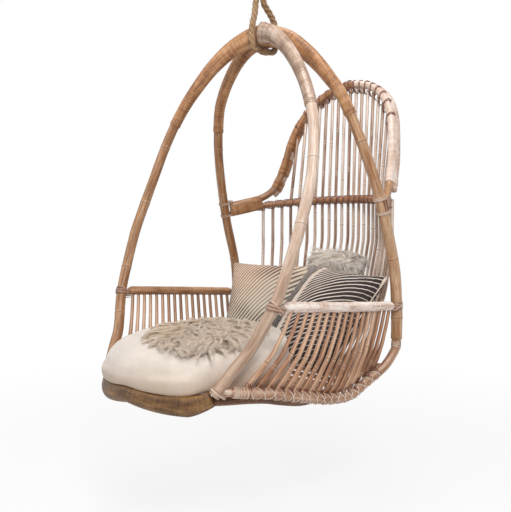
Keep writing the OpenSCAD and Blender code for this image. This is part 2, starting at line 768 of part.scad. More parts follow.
// Furry throw lying on the cushion, its edge following a soft outline
module fur_throw_seat() {
    n = 24;
    q = [0.3, 0.55, 0.76, 0.9, 1];
    mid = size3([40, -284, 0]);
    function at(k, s) =
        let (a = 360 * k / n, r = 1 + 0.07 * cos(3 * a + 40), p = [205 * r * s * cos(a), 146 * r * s * sin(a)])
        [mid.x + (p.x + p.y) * cos(45), mid.y + (p.y - p.x) * cos(45)];
    function low(p) = [p.x, p.y, cushion_top(p.x, p.y) + gap + 1];
    function high(p, s) = low(p) + [0, 0, throw_t * sqrt(max(0.02, 1 - s * s * 0.98))];
    points = concat(
        [low(at(0, 0))], [for (s = q) for (k = [0:n - 1]) low(at(k, s))],
        [high(at(0, 0), 0)], [for (s = q) for (k = [0:n - 1]) high(at(k, s), s)]
    );
    m = len(q);
    w = 1 + m * n;
    faces = concat(
        [for (k = [0:n - 1]) let (k2 = (k + 1) % n) each [[0, 1 + k, 1 + k2], [w, w + 1 + k2, w + 1 + k]]],
        [for (i = [0:m - 2]) for (k = [0:n - 1])
            let (k2 = (k + 1) % n, a = 1 + i * n)
            each [[a + k, a + n + k2, a + k2], [a + k, a + n + k, a + n + k2],
                [w + a + k, w + a + k2, w + a + n + k2], [w + a + k, w + a + n + k2, w + a + n + k]]],
        [for (k = [0:n - 1])
            let (k2 = (k + 1) % n, a = 1 + (m - 1) * n)
            each [[a + k, w + a + k, w + a + k2], [a + k, w + a + k2, a + k2]]]
    );
    color([0.72, 0.66, 0.56])
    at_chair()
    polyhedron(points, faces, convexity = 4);
}

// Furry throw pushed behind the pillows against the back
module fur_throw_back() {
    n = 18;
    rows = [-70, -45, -15, 15, 45, 70];
    points = concat(
        [[0, 0, -1]],
        [for (b = rows) for (k = [0:n - 1]) [cos(360 * k / n) * cos(b), sin(360 * k / n) * cos(b), sin(b)]],
        [[0, 0, 1]]
    );
    m = len(rows);
    faces = concat(
        [for (k = [0:n - 1]) [0, 1 + k, 1 + (k + 1) % n]],
        [for (i = [0:m - 2]) for (k = [0:n - 1])
            let (k2 = (k + 1) % n, a = 1 + i * n)
            each [[a + k, a + n + k2, a + k2], [a + k, a + n + k, a + n + k2]]],
        [for (k = [0:n - 1]) [m * n + 1, 1 + (m - 1) * n + (k + 1) % n, 1 + (m - 1) * n + k]]
    );
    size = [140, throw_t, 57];
    color([0.72, 0.66, 0.56])
    at_chair()
    translate(size3([68.1, 331.9, -126]))
    rotate([-16.9, 0, -14])
    polyhedron([for (p = points) [p.x * size.x, p.y * size.y, p.z * size.z]], faces, convexity = 4);
}

// Clearances of the wound and bent pieces, for whoever changes a size
function least(p, skip, d) = min([for (i = [0:len(p) - 1]) for (j = [i + skip:len(p) - 1]) norm(p[i] - p[j])]) - d;
echo("least self gap of the rope, mm", least([for (i = [6:len(rope_path) - 7]) rope_path[i]], 12, rope_d));
echo("gap between the rope's ends, mm", norm(rope_path[0] - rope_path[len(rope_path) - 1]));
echo("length of the rope, mm", len(rope_path) > 1 ? path_length(rope_path, 0) : 0);
echo("least gap between turns of the rail's cane, mm", least(rail_wind, rail_steps - 1, cane_w));
function path_length(p, i) = i >= len(p) - 1 ? 0 : norm(p[i + 1] - p[i]) + path_length(p, i + 1);

ceiling_plate();
swivel_eye();
hanging_ring();
hanging_rope();
rope_whipping();
hoop_main();
hoop_left();
hoop_right();
crown_wrap_main();
crown_wrap_left();
crown_wrap_right();
armrest_left();
armrest_right();
back_rail();
back_frame();
back_frame_outer();
side_rail_left();
side_rail_right();
rear_rail();
base_ring();
front_roll();
seat_slats();
back_slats();
side_slats_left();
side_slats_right();
rail_lashing_left();
rail_lashing_right();
arm_lashings();
back_lashings();
foot_lashings();
seat_cushion();
pillow_left();
pillow_right();
fur_throw_seat();
fur_throw_back();
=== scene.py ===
"""Looks of the hanging egg chair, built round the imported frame. Metres, in the row frame.

The chair's routes repeat part.scad's control points, in mm from the middle of the chair's height.
"""

import math

import bpy
import numpy as np
from mathutils import Matrix, Vector


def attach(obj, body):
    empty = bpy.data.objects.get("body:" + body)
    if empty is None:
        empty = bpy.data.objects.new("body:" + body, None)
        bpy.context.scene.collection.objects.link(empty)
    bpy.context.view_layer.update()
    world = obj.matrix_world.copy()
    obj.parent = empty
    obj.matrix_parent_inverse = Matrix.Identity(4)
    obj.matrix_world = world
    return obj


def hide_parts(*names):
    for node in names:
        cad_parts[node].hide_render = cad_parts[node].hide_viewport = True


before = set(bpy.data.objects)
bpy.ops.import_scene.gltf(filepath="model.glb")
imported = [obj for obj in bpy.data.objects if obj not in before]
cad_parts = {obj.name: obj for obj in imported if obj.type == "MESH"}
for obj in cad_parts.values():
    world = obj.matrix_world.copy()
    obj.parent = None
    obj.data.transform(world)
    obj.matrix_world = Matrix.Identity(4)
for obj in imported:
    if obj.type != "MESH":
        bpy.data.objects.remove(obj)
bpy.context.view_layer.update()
rng = np.random.default_rng(7)
scene = bpy.context.scene


def linked(name, data):
    obj = bpy.data.objects.new(name, data)
    scene.collection.objects.link(obj)
    return obj


# ---- camera, at the photograph's angle
cam = linked("camera", bpy.data.cameras.new("camera"))
cam.data.lens, cam.data.sensor_width = 51.54, 36
cam.location = (1.7209, -1.7417, -0.892)
cam.rotation_euler = (math.radians(87.656), 0, math.radians(45))
scene.camera = cam

# ---- sizes, as in part.scad
HANG, DROP = -10, 892  # the hanging line's y, and the ceiling's height
CROWN_Z, CROWN_H, WRAP_T, SAG = 634, 70, 1.5, 0.36
HOOP_R, THICKER = 16.5, 1.5
ARM_R, RAIL_R, REAR_R, BASE_R, MID_R, FRAME_R, OUTER_R, SLAT_R = 15, 14.5, 13, 14, 11.5, 13.5, 11, 6
ROPE_R, GAP, ROLL_W, ROLL_H = 11, 0.4, 38, 60
PITCH, TALL, SHORT, SIDE_SLATS, SEAT_SLATS = 27.5, 8, 3, 17, 15
ROLL_Y, CUSHION_Y = -200, -270  # middles of the front roll's arc and of the cushion
SIDE, THICK = 395, 134  # a pillow
STEPS = 8  # steps of a route between two control points
SIDES = ((1, "left"), (-1, "right"))


# ---- curves
def row(p):
    """Chair coordinates in mm to the row frame in metres."""
    return (np.asarray(p, float) + (0, -HANG, -DROP)) / 1000


def unit(v):
    v = np.asarray(v, float)
    return v / np.maximum(np.linalg.norm(v, axis=-1, keepdims=True), 1e-9)


def mix(a, b, t):
    return a + (b - a) * t


def flip(p):
    return np.asarray(p, float) * (-1, 1, 1)


def circle(a, u, v):
    """Directions at the turns a, from u towards v."""
    return np.cos(a)[:, None] * u + np.sin(a)[:, None] * v


def spline(points, n=STEPS):
    """Smooth curve through the points, n steps between each pair."""
    p = np.asarray(points, float)
    q = np.vstack([2 * p[0] - p[1], p, 2 * p[-1] - p[-2]])
    t = (np.arange(n) / n)[:, None]
    spans = [
        0.5 * (2 * b + (c - a) * t + (2 * a - 5 * b + 4 * c - d) * t**2 + (3 * b - a - 3 * c + d) * t**3)
        for a, b, c, d in zip(q, q[1:], q[2:], q[3:])
    ]
    return np.vstack(spans + [p[-1:]])


def both(half):
    """Route through both sides from its left half, whose last point is in the middle."""
    return spline(np.vstack([flip(half), np.asarray(half, float)[-2::-1]]))


def find(path, k, v):
    """Point and direction of a path where its axis k has the value v, the path rising along it."""
    i = int(np.clip(np.searchsorted(path[:, k], v, "right") - 1, 0, len(path) - 2))
    way = path[i + 1] - path[i]
    return path[i] + way * (v - path[i, k]) / way[k], unit(way)


def lengths(path):
    return np.concatenate([[0], np.cumsum(np.linalg.norm(np.diff(path, axis=0), axis=1))])


def between(s, total, values):
    """Rows of values, which stand at the lengths total, read at the lengths s."""
    return np.stack([np.interp(s, total, values[:, k]) for k in range(values.shape[1])], axis=-1)


def at(path, s):
    """Points of a path at the lengths s."""
    return between(s, lengths(path), path)


def soften(path, reach=22):
    """A bent line with its corners rounded."""
    path = np.asarray(path, float)
    total = lengths(path)[-1]
    n = max(8, int(total / 4))
    p = at(path, np.linspace(0, total, n + 1))
    for _ in range(int((reach / (total / n)) ** 2 / 2) + 1):
        p[1:-1] = p[1:-1] * 0.5 + (p[:-2] + p[2:]) * 0.25
    return p


def carried(way):
    """A direction square to a path at each step of it, turning as little as it can."""
    u = np.array([0.3, 0.4, 0.86] if abs(way[0, 2]) < 0.8 else [0.9, 0.3, 0.1])
    out = np.empty_like(way)
    for i, t in enumerate(way):
        u = unit(u - t * (u @ t))
        out[i] = u
    return out


# ---- routes, as in part.scad
leg_front = [
    [252, -444, -460], [282, -402, -396], [310, -363, -339], [345, -330, -253], [364, -305, -188],
    [377, -258, -59], [379, -233, 7], [371, -179, 142], [339, -133, 292], [289, -104, 402],
]
leg_back = [
    [286, 66, 403], [326, 99, 281], [354, 141, 148], [369, 183, 9], [373, 226, -133],
    [375, 238, -245], [373, 243, -330], [372, 243, -366],
]
crown_main = [
    [-231, -80, 485], [-169, -58, 553], [-90, -34, 608], [0, -10, CROWN_Z],
    [90, 14, 612], [150, 27, 572], [205, 38, 519], [250, 50, 462],
]
crown_left = [[231, -80, 485], [171, -66, 555], [104, -50, 606], [62, -41, 625], [34, -39.3, 632]]
crown_right = [
    [-250, 50, 462], [-207, 42, 520], [-153, 36, 574], [-92, 32, 613], [-30, 32, 631], [24, 35, CROWN_Z],
]
arm_route = [
    [364, -286, -221], [378, -220, -226], [387, -90, -235], [388, 40, -244], [383, 140, -251], [377, 214, -256],
]
side_route = [
    [276, -398, -453], [297, -349, -460], [313, -287, -469], [321, -212, -486], [325, -129, -505],
    [327, -40, -523], [330, 55, -526], [337, 124, -496], [354, 200, -454], [367, 235, -410],
    [371, 242, -390], [372, 243, -366.6],
]
rear_half = [[336.5, 201.5, -456], [290, 222, -478], [180, 240, -489], [90, 249, -492], [0, 252, -492]]
mid_half = [[354, 187, 50], [326, 240, 62], [289, 301, 80], [200, 376, 92], [100, 430, 98], [0, 447, 100]]
frame_half = [
    [351, 187, 78], [326, 236, 91], [298, 290, 106], [275, 336, 136], [264, 358, 174], [253, 384, 238],
    [241, 402, 310], [222, 423, 378], [189, 445, 440], [140, 464, 488], [78, 475, 520], [0, 478, 533],
]

# the front roll: an arc between the feet, which hangs lower and grows thinner towards its ends
foot = np.array(leg_front[0], float)
roll_arc = math.hypot(foot[0], foot[1] - ROLL_Y) - 8
roll_end = math.degrees(math.atan2(foot[1] - ROLL_Y, foot[0]))
roll_end -= math.degrees(math.asin((HOOP_R - 11.8) / roll_arc))
roll_s = np.linspace(-1, 1, 97)
roll_off = np.abs(roll_s)
roll_turn = np.radians(-90 + roll_s * (roll_end + 90))
roll_dip = np.where(
    roll_off < 0.75,
    15 * np.sin(np.radians(120 * roll_off)),
    mix(15, -6, (np.maximum(roll_off - 0.75, 0) * 4) ** 1.5),
)
roll_path = np.stack([roll_arc * np.cos(roll_turn), ROLL_Y + roll_arc * np.sin(roll_turn), -476 - roll_dip], axis=1)
roll_half_h = ROLL_H / 2 * np.where(roll_off < 0.75, mix(0.87, 1, roll_off / 0.75), mix(1, 0.72, (roll_off - 0.75) * 4))
roll_half_w = ROLL_W / 2 * np.where(roll_off < 0.8, 1, mix(1, 0.86, (roll_off - 0.8) * 5))
base_front = ROLL_Y - roll_arc + ROLL_W / 2 + BASE_R - 2 * GAP
base_half = [
    [0, base_front, -482], [120, -483, -484], [196, -434, -485], [240, -383, -484], [260, -322, -487],
    [271, -260, -495], [277, -200, -509], [280, -127, -523], [281, -60, -524], [278, 20, -517],
    [262, 100, -503], [215, 160, -494], [120, 194, -488], [0, 204, -486],
]

main_path = spline(np.vstack([flip(leg_front), crown_main, leg_back]))
left_path = spline(np.vstack([leg_front, crown_left]))
right_path = spline(np.vstack([flip(leg_back[::-1]), crown_right]))
arm_path, side_path = spline(arm_route), spline(side_route)
rear_path, mid_path, frame_path = both(rear_half), both(mid_half), both(frame_half)
frame_way = unit(np.gradient(frame_path, axis=0))
behind = unit(np.array([0, 1, 0]) - frame_way[:, 1:2] * frame_way)
outer_path = (frame_path + (FRAME_R + OUTER_R + GAP) * behind)[24:-24]

# the same routes in part.scad's coarser steps, on which it places what is bound to them
base_side = spline(base_half, 1)
front_up, back_up = spline(leg_front, 2), spline(leg_back, 2)[::-1]
mid_side, frame_top = spline(mid_half, 3)[::-1], spline(frame_half[:4:-1], 2)
rear_side, arm_side, rail_side = spline(rear_half, 2)[::-1], spline(arm_route, 3), spline(side_route, 2)


# ---- mesh building
def mesh_of(name, points, faces, uv=None, **values):
    """A mesh with a UV map, whose values are one number for each point."""
    mesh = bpy.data.meshes.new(name)
    mesh.from_pydata(np.asarray(points).tolist(), [], faces)
    if uv is not None:
        mesh.uv_layers.new(name="UVMap").data.foreach_set("uv", uv.astype(np.float32))
    for key, value in values.items():
        mesh.attributes.new(key, "FLOAT", "POINT").data.foreach_set("value", value.astype(np.float32))
    return mesh


def finished(name, mesh, look, nodes=(), body="chair"):
    """A piece that rides on a body and stands for the CAD nodes."""
    mesh.shade_smooth()
    mesh.materials.append(M[look])
    obj = linked(name, mesh)
    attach(obj, body)
    if nodes:
        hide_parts(*nodes)
    return obj


class Piece:
    """One object made of swept parts, in mm in the chair's coordinates."""

    def __init__(self):
        self.co, self.faces, self.uv, self.tint, self.knot, self.n = [], [], [], [], [], 0

    def rings(self, p, along, tint, knot):
        """A closed loft through rings of points. u is the length in metres and v the share of the way round."""
        n, m = p.shape[:2]
        i, k = np.meshgrid(np.arange(n - 1), np.arange(m), indexing="ij")
        k2, q = (k + 1) % m, self.n + i * m
        self.faces += np.stack([q + k, q + m + k, q + m + k2, q + k2], -1).reshape(-1, 4).tolist()
        u0, u1, v0, v1 = along[i] / 1000, along[i + 1] / 1000, k / m, (k + 1) / m
        self.uv.append(np.stack([u0, v0, u1, v0, u1, v1, u0, v1], -1).ravel())
        self.faces += [list(range(self.n, self.n + m)), list(range(self.n + n * m - 1, self.n + n * m - m - 1, -1))]
        self.uv += [np.tile([end / 1000, 0.5], m) for end in (along[0], along[-1])]
        self.co.append(p.reshape(-1, 3))
        self.tint.append(np.repeat(np.broadcast_to(tint, n).astype(float), m))
        self.knot.append(np.repeat(knot, m))
        self.n += n * m

    def tube(self, path, a, b=None, ref=None, sides=20, step=6.0, end="cut",
             tint=0.5, knots=(), turns=None, shift=0, square=1.0, wobble=0.0):
        """A pole, wrap or strip along a path: a is its half size across ref, b towards ref.

        turns is the pitch and depth of a cane wrap, and knots are the lengths at which growth rings stand.
        """
        path, knots = np.asarray(path, float), np.asarray(knots, float)
        total = lengths(path)
        span, size = total[-1], float(np.max(a))
        if turns:
            step = turns[0] / 5
        near = (knots[:, None] + [-4, -1.5, 0, 1.5, 4]).ravel()
        s = np.arange(step, span - step * 0.6, step)
        s = np.unique(np.concatenate([s, near[(near > 4) & (near < span - 4)]]))
        if end == "cut":
            tip_at, tip_size = [0, 0, 1.2], [0.02, 0.93, 1.0]
        else:
            tip_at, tip_size = [0, 0.05 * size, 0.3 * size, size], [0.08, 0.42, 0.76, 1.0]
        s = s[(s > tip_at[-1] + 0.2) & (s < span - tip_at[-1] - 0.2)]
        scale = np.concatenate([tip_size, np.ones(len(s)), tip_size[::-1]])
        s = np.concatenate([tip_at, s, span - np.array(tip_at[::-1])])

        way = unit(between(s, total, np.gradient(path, total, axis=0)))
        if ref is None:
            up = carried(way)
        else:
            ref = np.asarray(ref, float)
            up = np.tile(ref, (len(s), 1)) if ref.ndim == 1 else between(s, total, ref)
        side = unit(np.cross(way, up))
        up = np.cross(side, way)
        size_of = lambda r: np.interp(s, total, r) if np.ndim(r) else np.full(len(s), float(r))
        centre = at(path, s) - size_of(shift)[:, None] * side
        far = np.abs(s[:, None] - knots[None]).min(1) if len(knots) else np.full(len(s), 60.0)
        grow = 1 + 0.045 * np.exp(-((far / 4.5) ** 2)) + wobble * np.sin(s / 31 + span) * np.sin(s / 53 + 2)
        angle = 2 * np.pi * np.arange(sides) / sides
        power = lambda x: np.sign(x) * np.abs(x) ** square
        dent = np.zeros((len(s), sides))
        if turns:
            phase = s[:, None] / turns[0] + angle[None] / (2 * np.pi)
            dent = turns[1] * (1 - np.abs(np.sin(np.pi * phase)) ** 0.6)
        ra = (size_of(a) * grow)[:, None] - dent
        rb = (size_of(a if b is None else b) * grow)[:, None] - dent
        p = centre[:, None] + (ra * scale[:, None] * power(np.cos(angle)))[..., None] * side[:, None]
        p = p + (rb * scale[:, None] * power(np.sin(angle)))[..., None] * up[:, None]
        self.rings(p, s, size_of(tint), far / 1000)
        return self

    def strip(self, path, out, width, thick, tint=0.5, step=4.0):
        """A flat cane strip along a path, facing out."""
        return self.tube(path, width / 2, thick / 2, out, sides=8, step=step, tint=tint, square=0.55)

    def wound(self, path, start, stop, r, pitch, width=5.0, thick=1.8, tint=0.5):
        """A strip wound round a stretch of a pole."""
        s = np.linspace(start, stop, max(6, int(16 * abs(stop - start) / pitch)) + 1)
        c = at(path, s)
        way = unit(np.gradient(c, axis=0))
        side = carried(way)
        out = circle(2 * np.pi * (s - start) / pitch, side, np.cross(way, side))
        return self.strip(c + out * (r + thick / 2), out, width, thick, tint, step=3.0)

    def loop(self, centre, d1, d2, m, width, thick, tint, full=0.85):
        """A strip round an oval whose half axes are d1 and d2, on the left for m = 1 and mirrored for -1."""
        centre, d1, d2 = (np.asarray(x, float) * (m, 1, 1) for x in (centre, d1, d2))
        a = np.linspace(0, 2 * np.pi, 23)
        power = lambda x: (np.sign(x) * np.abs(x) ** full)[:, None]
        p = centre + power(np.cos(a)) * d1 + power(np.sin(a)) * d2
        out = unit(circle(a, unit(d1) / np.linalg.norm(d1), unit(d2) / np.linalg.norm(d2)))
        return self.strip(p, out, width, thick, tint, step=3.0)

    def make(self, name, look, slot, *nodes, body="chair", place=row):
        parts = {key: np.concatenate(getattr(self, key)) for key in ("uv", "tint", "knot")}
        mesh = mesh_of(name, place(np.concatenate(self.co)), self.faces, **parts)
        return finished(name, mesh, look, nodes, body)


def spaced(span, first, pitch, seed):
    """Places of the growth rings along a pole, unevenly spaced."""
    r = np.random.default_rng(seed)
    s = first + np.cumsum(pitch * (0.7 + 0.6 * r.random(int(span / pitch) + 2)))
    return s[s < span - 25]


# ---- materials
M = {}


class Value:
    """A number in a node tree, so that sums are written as sums."""

    def __init__(self, tree, socket):
        self.tree, self.socket = tree, socket

    def __add__(self, other):
        return self.tree.math("ADD", self, other)

    def __sub__(self, other):
        return self.tree.math("SUBTRACT", self, other)

    def __rsub__(self, other):
        return self.tree.math("SUBTRACT", other, self)

    def __mul__(self, other):
        return self.tree.math("MULTIPLY", self, other)


class Tree:
    """A node tree, with short names for the nodes used here."""

    def __init__(self, tree):
        self.nodes, self.links = tree.nodes, tree.links

    def put(self, socket, value):
        if isinstance(value, Value):
            self.links.new(value.socket, socket)
        elif value is not None:
            socket.default_value = value

    def add(self, kind, *values, out=0, **props):
        """A node with its properties set and its sockets filled in their order."""
        node = self.nodes.new("ShaderNode" + kind)
        for key, value in props.items():
            setattr(node, key, value)
        for i, value in enumerate(values):
            self.put(node.inputs[i], value)
        return Value(self, node.outputs[out])

    def math(self, op, a, b=None):
        return self.add("Math", a, b, operation=op)

    def vec(self, x, y, z):
        return self.add("CombineXYZ", x, y, z)

    def split(self, vector):
        node = self.nodes.new("ShaderNodeSeparateXYZ")
        self.put(node.inputs[0], vector)
        return tuple(Value(self, socket) for socket in node.outputs)

    def place(self):
        """The point in the object's own coordinates."""
        return self.add("TexCoord", out=3)

    def attr(self, name):
        return self.add("Attribute", attribute_name=name, out=2)

    def noise(self, vector, scale, detail=2.0, rough=0.5):
        return self.add("TexNoise", vector, None, scale, detail, rough)

    def fit(self, value, low, high, to_low=0.0, to_high=1.0):
        """Smooth step of value from low..high to to_low..to_high."""
        return self.add("MapRange", value, low, high, to_low, to_high, interpolation_type="SMOOTHSTEP")

    def ramp(self, fac, *stops):
        colour = self.add("ValToRGB", fac)
        elements = colour.socket.node.color_ramp.elements
        for i, (pos, rgb) in enumerate(stops):
            e = elements[i] if i < 2 else elements.new(pos)
            e.position, e.color = pos, (*rgb, 1)
        return colour

    def blend(self, fac, a, b):
        node = self.nodes.new("ShaderNodeMix")
        node.data_type = "RGBA"
        for i, value in ((0, fac), (6, a), (7, b)):
            self.put(node.inputs[i], (*value, 1) if isinstance(value, tuple) else value)
        return Value(self, node.outputs[2])

    def seen(self):
        """1 where the camera sees a surface itself, or sees it in metal or through glass, else 0."""
        rays = self.nodes.new("ShaderNodeLightPath").outputs
        keys = ("Is Camera Ray", "Is Glossy Ray", "Is Transmission Ray")
        camera, glossy, through = (Value(self, rays[key]) for key in keys)
        return self.math("MAXIMUM", self.math("MAXIMUM", camera, glossy), through)


class Shade(Tree):
    """A material's tree. The material is kept in M under its name."""

    def __init__(self, name, rough, **sockets):
        self.mat = M[name] = bpy.data.materials.new(name)
        self.mat.use_nodes = True
        super().__init__(self.mat.node_tree)
        self.bsdf = self.nodes["Principled BSDF"]
        self.bsdf.inputs["Roughness"].default_value = rough
        for key, value in sockets.items():
            self.bsdf.inputs[key.replace("_", " ")].default_value = value

    def round_pole(self):
        """Length along a pole in metres, share of the way round it, and the direction of that share."""
        self.length, self.share, _ = self.split(self.add("UVMap"))
        a = self.share * (2 * math.pi)
        self.x, self.y = self.math("COSINE", a), self.math("SINE", a)

    def spot(self, pace, spread):
        """A point for noise on a pole, which moves by pace along it and by spread round it."""
        return self.vec(self.length * pace, self.x * spread, self.y * spread)

    def grain(self, pace, spread, *look):
        return self.noise(self.spot(pace, spread), *look)

    def done(self, colour, height=None, strength=0.3, distance=0.001, rough=None):
        self.put(self.bsdf.inputs["Base Color"], colour)
        if rough is not None:
            self.put(self.bsdf.inputs["Roughness"], rough)
        if height is not None:
            bump = self.add("Bump", strength, distance)
            self.put(bump.socket.node.inputs["Height"], height)
            self.put(self.bsdf.inputs["Normal"], bump)


def shade_of(c, k):
    return tuple(min(1.0, x * k) for x in c)


def pole(name, dark, mid, light, rough=0.42, pits=0.0):
    """Rattan: fibres along the pole, uneven tone, growth rings and small pits."""
    s = Shade(name, rough)
    s.round_pole()
    tone = s.grain(5.0, 1.0, 1.6, 4.0, 0.6)
    fibre = s.grain(16.0, 7.0, 1.4, 4.0, 0.65)
    stain = s.grain(9.0, 1.5, 2.6, 5.0, 0.65)
    knot = s.attr("knot")
    ring = s.fit(knot, 0.0006, 0.0022, 1.0, 0.0)
    halo = s.fit(knot, 0.002, 0.012, 1.0, 0.0)
    whole = s.attr("tint") * 0.58 + s.fit(tone, 0.3, 0.7) * 0.5
    colour = s.ramp(whole, (0.1, dark), (0.9, light), (0.5, mid))
    colour = s.blend(s.fit(stain, 0.52, 0.7, 0.0, 0.55), colour, shade_of(dark, 0.9))
    colour = s.blend(s.fit(fibre, 0.5, 0.7, 0.0, 0.6), colour, shade_of(dark, 0.6))
    colour = s.blend(halo * 0.25, colour, shade_of(light, 1.05))
    colour = s.blend(ring * 0.6, colour, shade_of(dark, 0.35))
    if pits:
        cells = s.add("TexVoronoi", s.spot(55.0, 1.6), None, 1.0)
        some = s.fit(s.grain(6.0, 1.0, 2.2, 1.0), 0.62 - pits, 0.7 - pits)
        hole = s.fit(cells, 0.12, 0.2, 1.0, 0.0) * some
        colour = s.blend(hole * 0.85, colour, shade_of(dark, 0.25))
    s.done(colour, fibre * 0.5 - ring * 0.8, 0.35, 0.0008, s.fit(fibre, 0.3, 0.8, rough - 0.08, rough + 0.14))


def wrapped(name, dark, mid, light, pitch, line=0.6, height=0.5):
    """Cane wound round a pole, with its joints between the turns."""
    s = Shade(name, 0.45)
    s.round_pole()
    phase = s.length * (1000 / pitch) + s.share
    turn_tone = s.add("TexWhiteNoise", None, s.math("FLOOR", phase), noise_dimensions="1D")
    tone = s.grain(7.0, 1.0, 1.5, 3.0, 0.6)
    fibre = s.grain(900 / pitch, 5.0, 1.0, 3.0, 0.6)
    stain = s.grain(14.0, 1.5, 2.0, 5.0, 0.65)
    whole = turn_tone * 0.25 + s.fit(tone, 0.3, 0.7) * 0.55 + fibre * 0.2
    colour = s.ramp(whole, (0.15, dark), (0.85, light), (0.5, mid))
    colour = s.blend(s.fit(stain, 0.5, 0.72, 0.0, 0.5), colour, shade_of(dark, 0.95))
    joint = s.fit(s.math("ABSOLUTE", s.math("FRACT", phase) - 0.5), 0.36, 0.5)
    colour = s.blend(joint * line, colour, shade_of(dark, 0.4))
    s.done(colour, fibre * 0.25 - joint, height, 0.001, s.fit(fibre, 0.3, 0.8, 0.39, 0.57))


def cloth(name, colour, weave=900.0, folds=0.0, sheen=0.25, low=None):
    """Woven cotton: crossed threads, slight unevenness and soft creases.

    low gives the heights between which the cloth grows browner towards its foot, as painted shade, and the colour of
    that shade.
    """
    s = Shade(name, 0.85, Sheen_Weight=sheen, Sheen_Roughness=0.5)
    place = s.place()
    x, y, z = s.split(place)
    warp, weft = (s.math("SINE", (v + z * 0.5) * (weave * 2)) for v in (x, y))
    uneven = s.noise(place, 9.0, 4.0, 0.6)
    if callable(colour):
        colour = colour(s, uneven)
    else:
        colour = s.blend(s.fit(uneven, 0.3, 0.7), shade_of(colour, 0.92), shade_of(colour, 1.08))
    # painted shade: below low's heights the cloth is painted browner towards its foot
    if low:
        colour = s.blend(s.fit(z + uneven * 0.03, low[0], low[1], 0.75, 0.0), colour, low[2])
    threads = warp * weft * 0.3 + s.noise(place, 260.0, 2.0) * 0.6
    s.done(colour, threads + s.noise(place, 14.0, 3.0, 0.55) * folds, 0.35, 0.0012)


def stripes(near):
    """Curved woven stripes that thicken towards one corner. near has the bolder ones."""

    def colour(s, uneven):
        U, V, _ = s.split(s.add("UVMap"))
        wave = (uneven - 0.5) * 0.03
        curved = lambda slope, bend, number: (V - (U * slope - U * U * bend) + wave) * number
        if near:
            left = s.fit(U, 0.235, 0.245, 1.0, 0.0)
            steep = (U * 1.1 - V * 0.3 + wave) * 24.0
            phase = curved(1.15, 0.5, 23.0) * (1.0 - left) + steep * left
            thick = U * 0.26 + (1.0 - V) * 0.12 + 0.16 + left * 0.14
        else:
            phase = curved(1.9, 0.85, 19.0)
            thick = s.fit(s.noise(s.vec(U, V, 0.0), 2.6, 1.0), 0.35, 0.7) * 0.2 + 0.12
        saw = s.math("ABSOLUTE", s.math("FRACT", phase) - 0.5)
        dark = s.fit(saw - thick, -0.03, 0.03, 1.0, 0.0)
        if near:
            band = s.fit(s.math("ABSOLUTE", U - 0.275), 0.026, 0.032, 1.0, 0.0)
            dark = dark * (1.0 - (band + s.fit(U, 0.975, 0.98)))
            ground = s.blend(s.fit(uneven, 0.35, 0.65), (0.68, 0.56, 0.46), (0.82, 0.73, 0.64))
            return s.blend(dark, ground, (0.02, 0.011, 0.01))
        ground = s.blend(s.fit(V - U * 0.7, 0.1, 0.8), (0.66, 0.58, 0.47), (0.8, 0.57, 0.42))
        return s.blend(dark * 0.9, ground, (0.09, 0.06, 0.045))

    return colour


def jute():
    s = Shade("rope", 0.9, Sheen_Weight=0.3)
    s.round_pole()
    yarn = s.noise(s.vec(s.length * 90.0 + s.share * 3.0, s.x * 2.5, s.y * 2.5), 1.5, 4.0, 0.7)
    whole = yarn * 0.7 + s.grain(12.0, 1.0, 2.0, 3.0) * 0.3
    colour = s.ramp(whole, (0.3, (0.09, 0.04, 0.015)), (0.66, (0.66, 0.46, 0.27)), (0.5, (0.37, 0.21, 0.1)))
    s.done(colour, yarn, 1.0, 0.002)


def pelt(name, root, mid, tip):
    """Hair, from its root to its tip, some of it nearer to its middle colour."""
    s = Shade(name, 0.65, Sheen_Weight=0.3)
    along = s.ramp(s.split(s.add("UVMap"))[0], (0.0, root), (1.0, tip), (0.28, mid))
    s.done(s.blend(s.fit(s.attr("tint"), 0.0, 1.0, 0.0, 0.55), along, shade_of(mid, 1.1)))


def hide(name, dark, light):
    s = Shade(name, 0.9)
    n = s.noise(s.place(), 120.0, 4.0, 0.7)
    s.done(s.ramp(n, (0.3, dark), (0.7, light)), n, 0.8, 0.003)


def steel():
    s = Shade("hardware_steel", 0.3, Metallic=1.0)
    streak = s.noise(s.add("Mapping", s.place(), None, None, (40, 40, 900)), 1.0, 3.0)
    colour = s.ramp(streak, (0.3, (0.5, 0.5, 0.51)), (0.7, (0.68, 0.68, 0.69)))
    s.done(colour, streak, 0.15, 0.0003, s.fit(streak, 0.3, 0.7, 0.24, 0.42))


def paint():
    s = Shade("hardware_black", 0.4)
    speck = s.noise(s.place(), 700.0, 2.0)
    s.done(s.ramp(speck, (0.4, (0.03, 0.03, 0.033)), (0.7, (0.055, 0.055, 0.06))), speck, 0.25, 0.0003)


pole("rattan_honey", (0.13, 0.05, 0.018), (0.36, 0.17, 0.07), (0.6, 0.38, 0.23))
pole("rattan_pale", (0.36, 0.22, 0.14), (0.6, 0.43, 0.32), (0.76, 0.62, 0.52), pits=0.04)
pole("rattan_brown", (0.17, 0.07, 0.03), (0.36, 0.17, 0.08), (0.54, 0.31, 0.16))
pole("rattan_rail", (0.18, 0.07, 0.035), (0.48, 0.27, 0.165), (0.74, 0.52, 0.39))
pole("slat_side", (0.12, 0.04, 0.015), (0.46, 0.23, 0.125), (0.82, 0.57, 0.4), pits=0.02)
pole("slat_pale", (0.15, 0.055, 0.03), (0.58, 0.39, 0.28), (0.95, 0.83, 0.73), pits=0.02)
pole("slat_tan", (0.15, 0.055, 0.025), (0.42, 0.22, 0.12), (0.72, 0.48, 0.32), pits=0.02)
pole("cane", (0.22, 0.09, 0.05), (0.58, 0.38, 0.27), (0.92, 0.8, 0.68), 0.38)
pole("binding", (0.08, 0.02, 0.01), (0.19, 0.06, 0.035), (0.34, 0.13, 0.08))
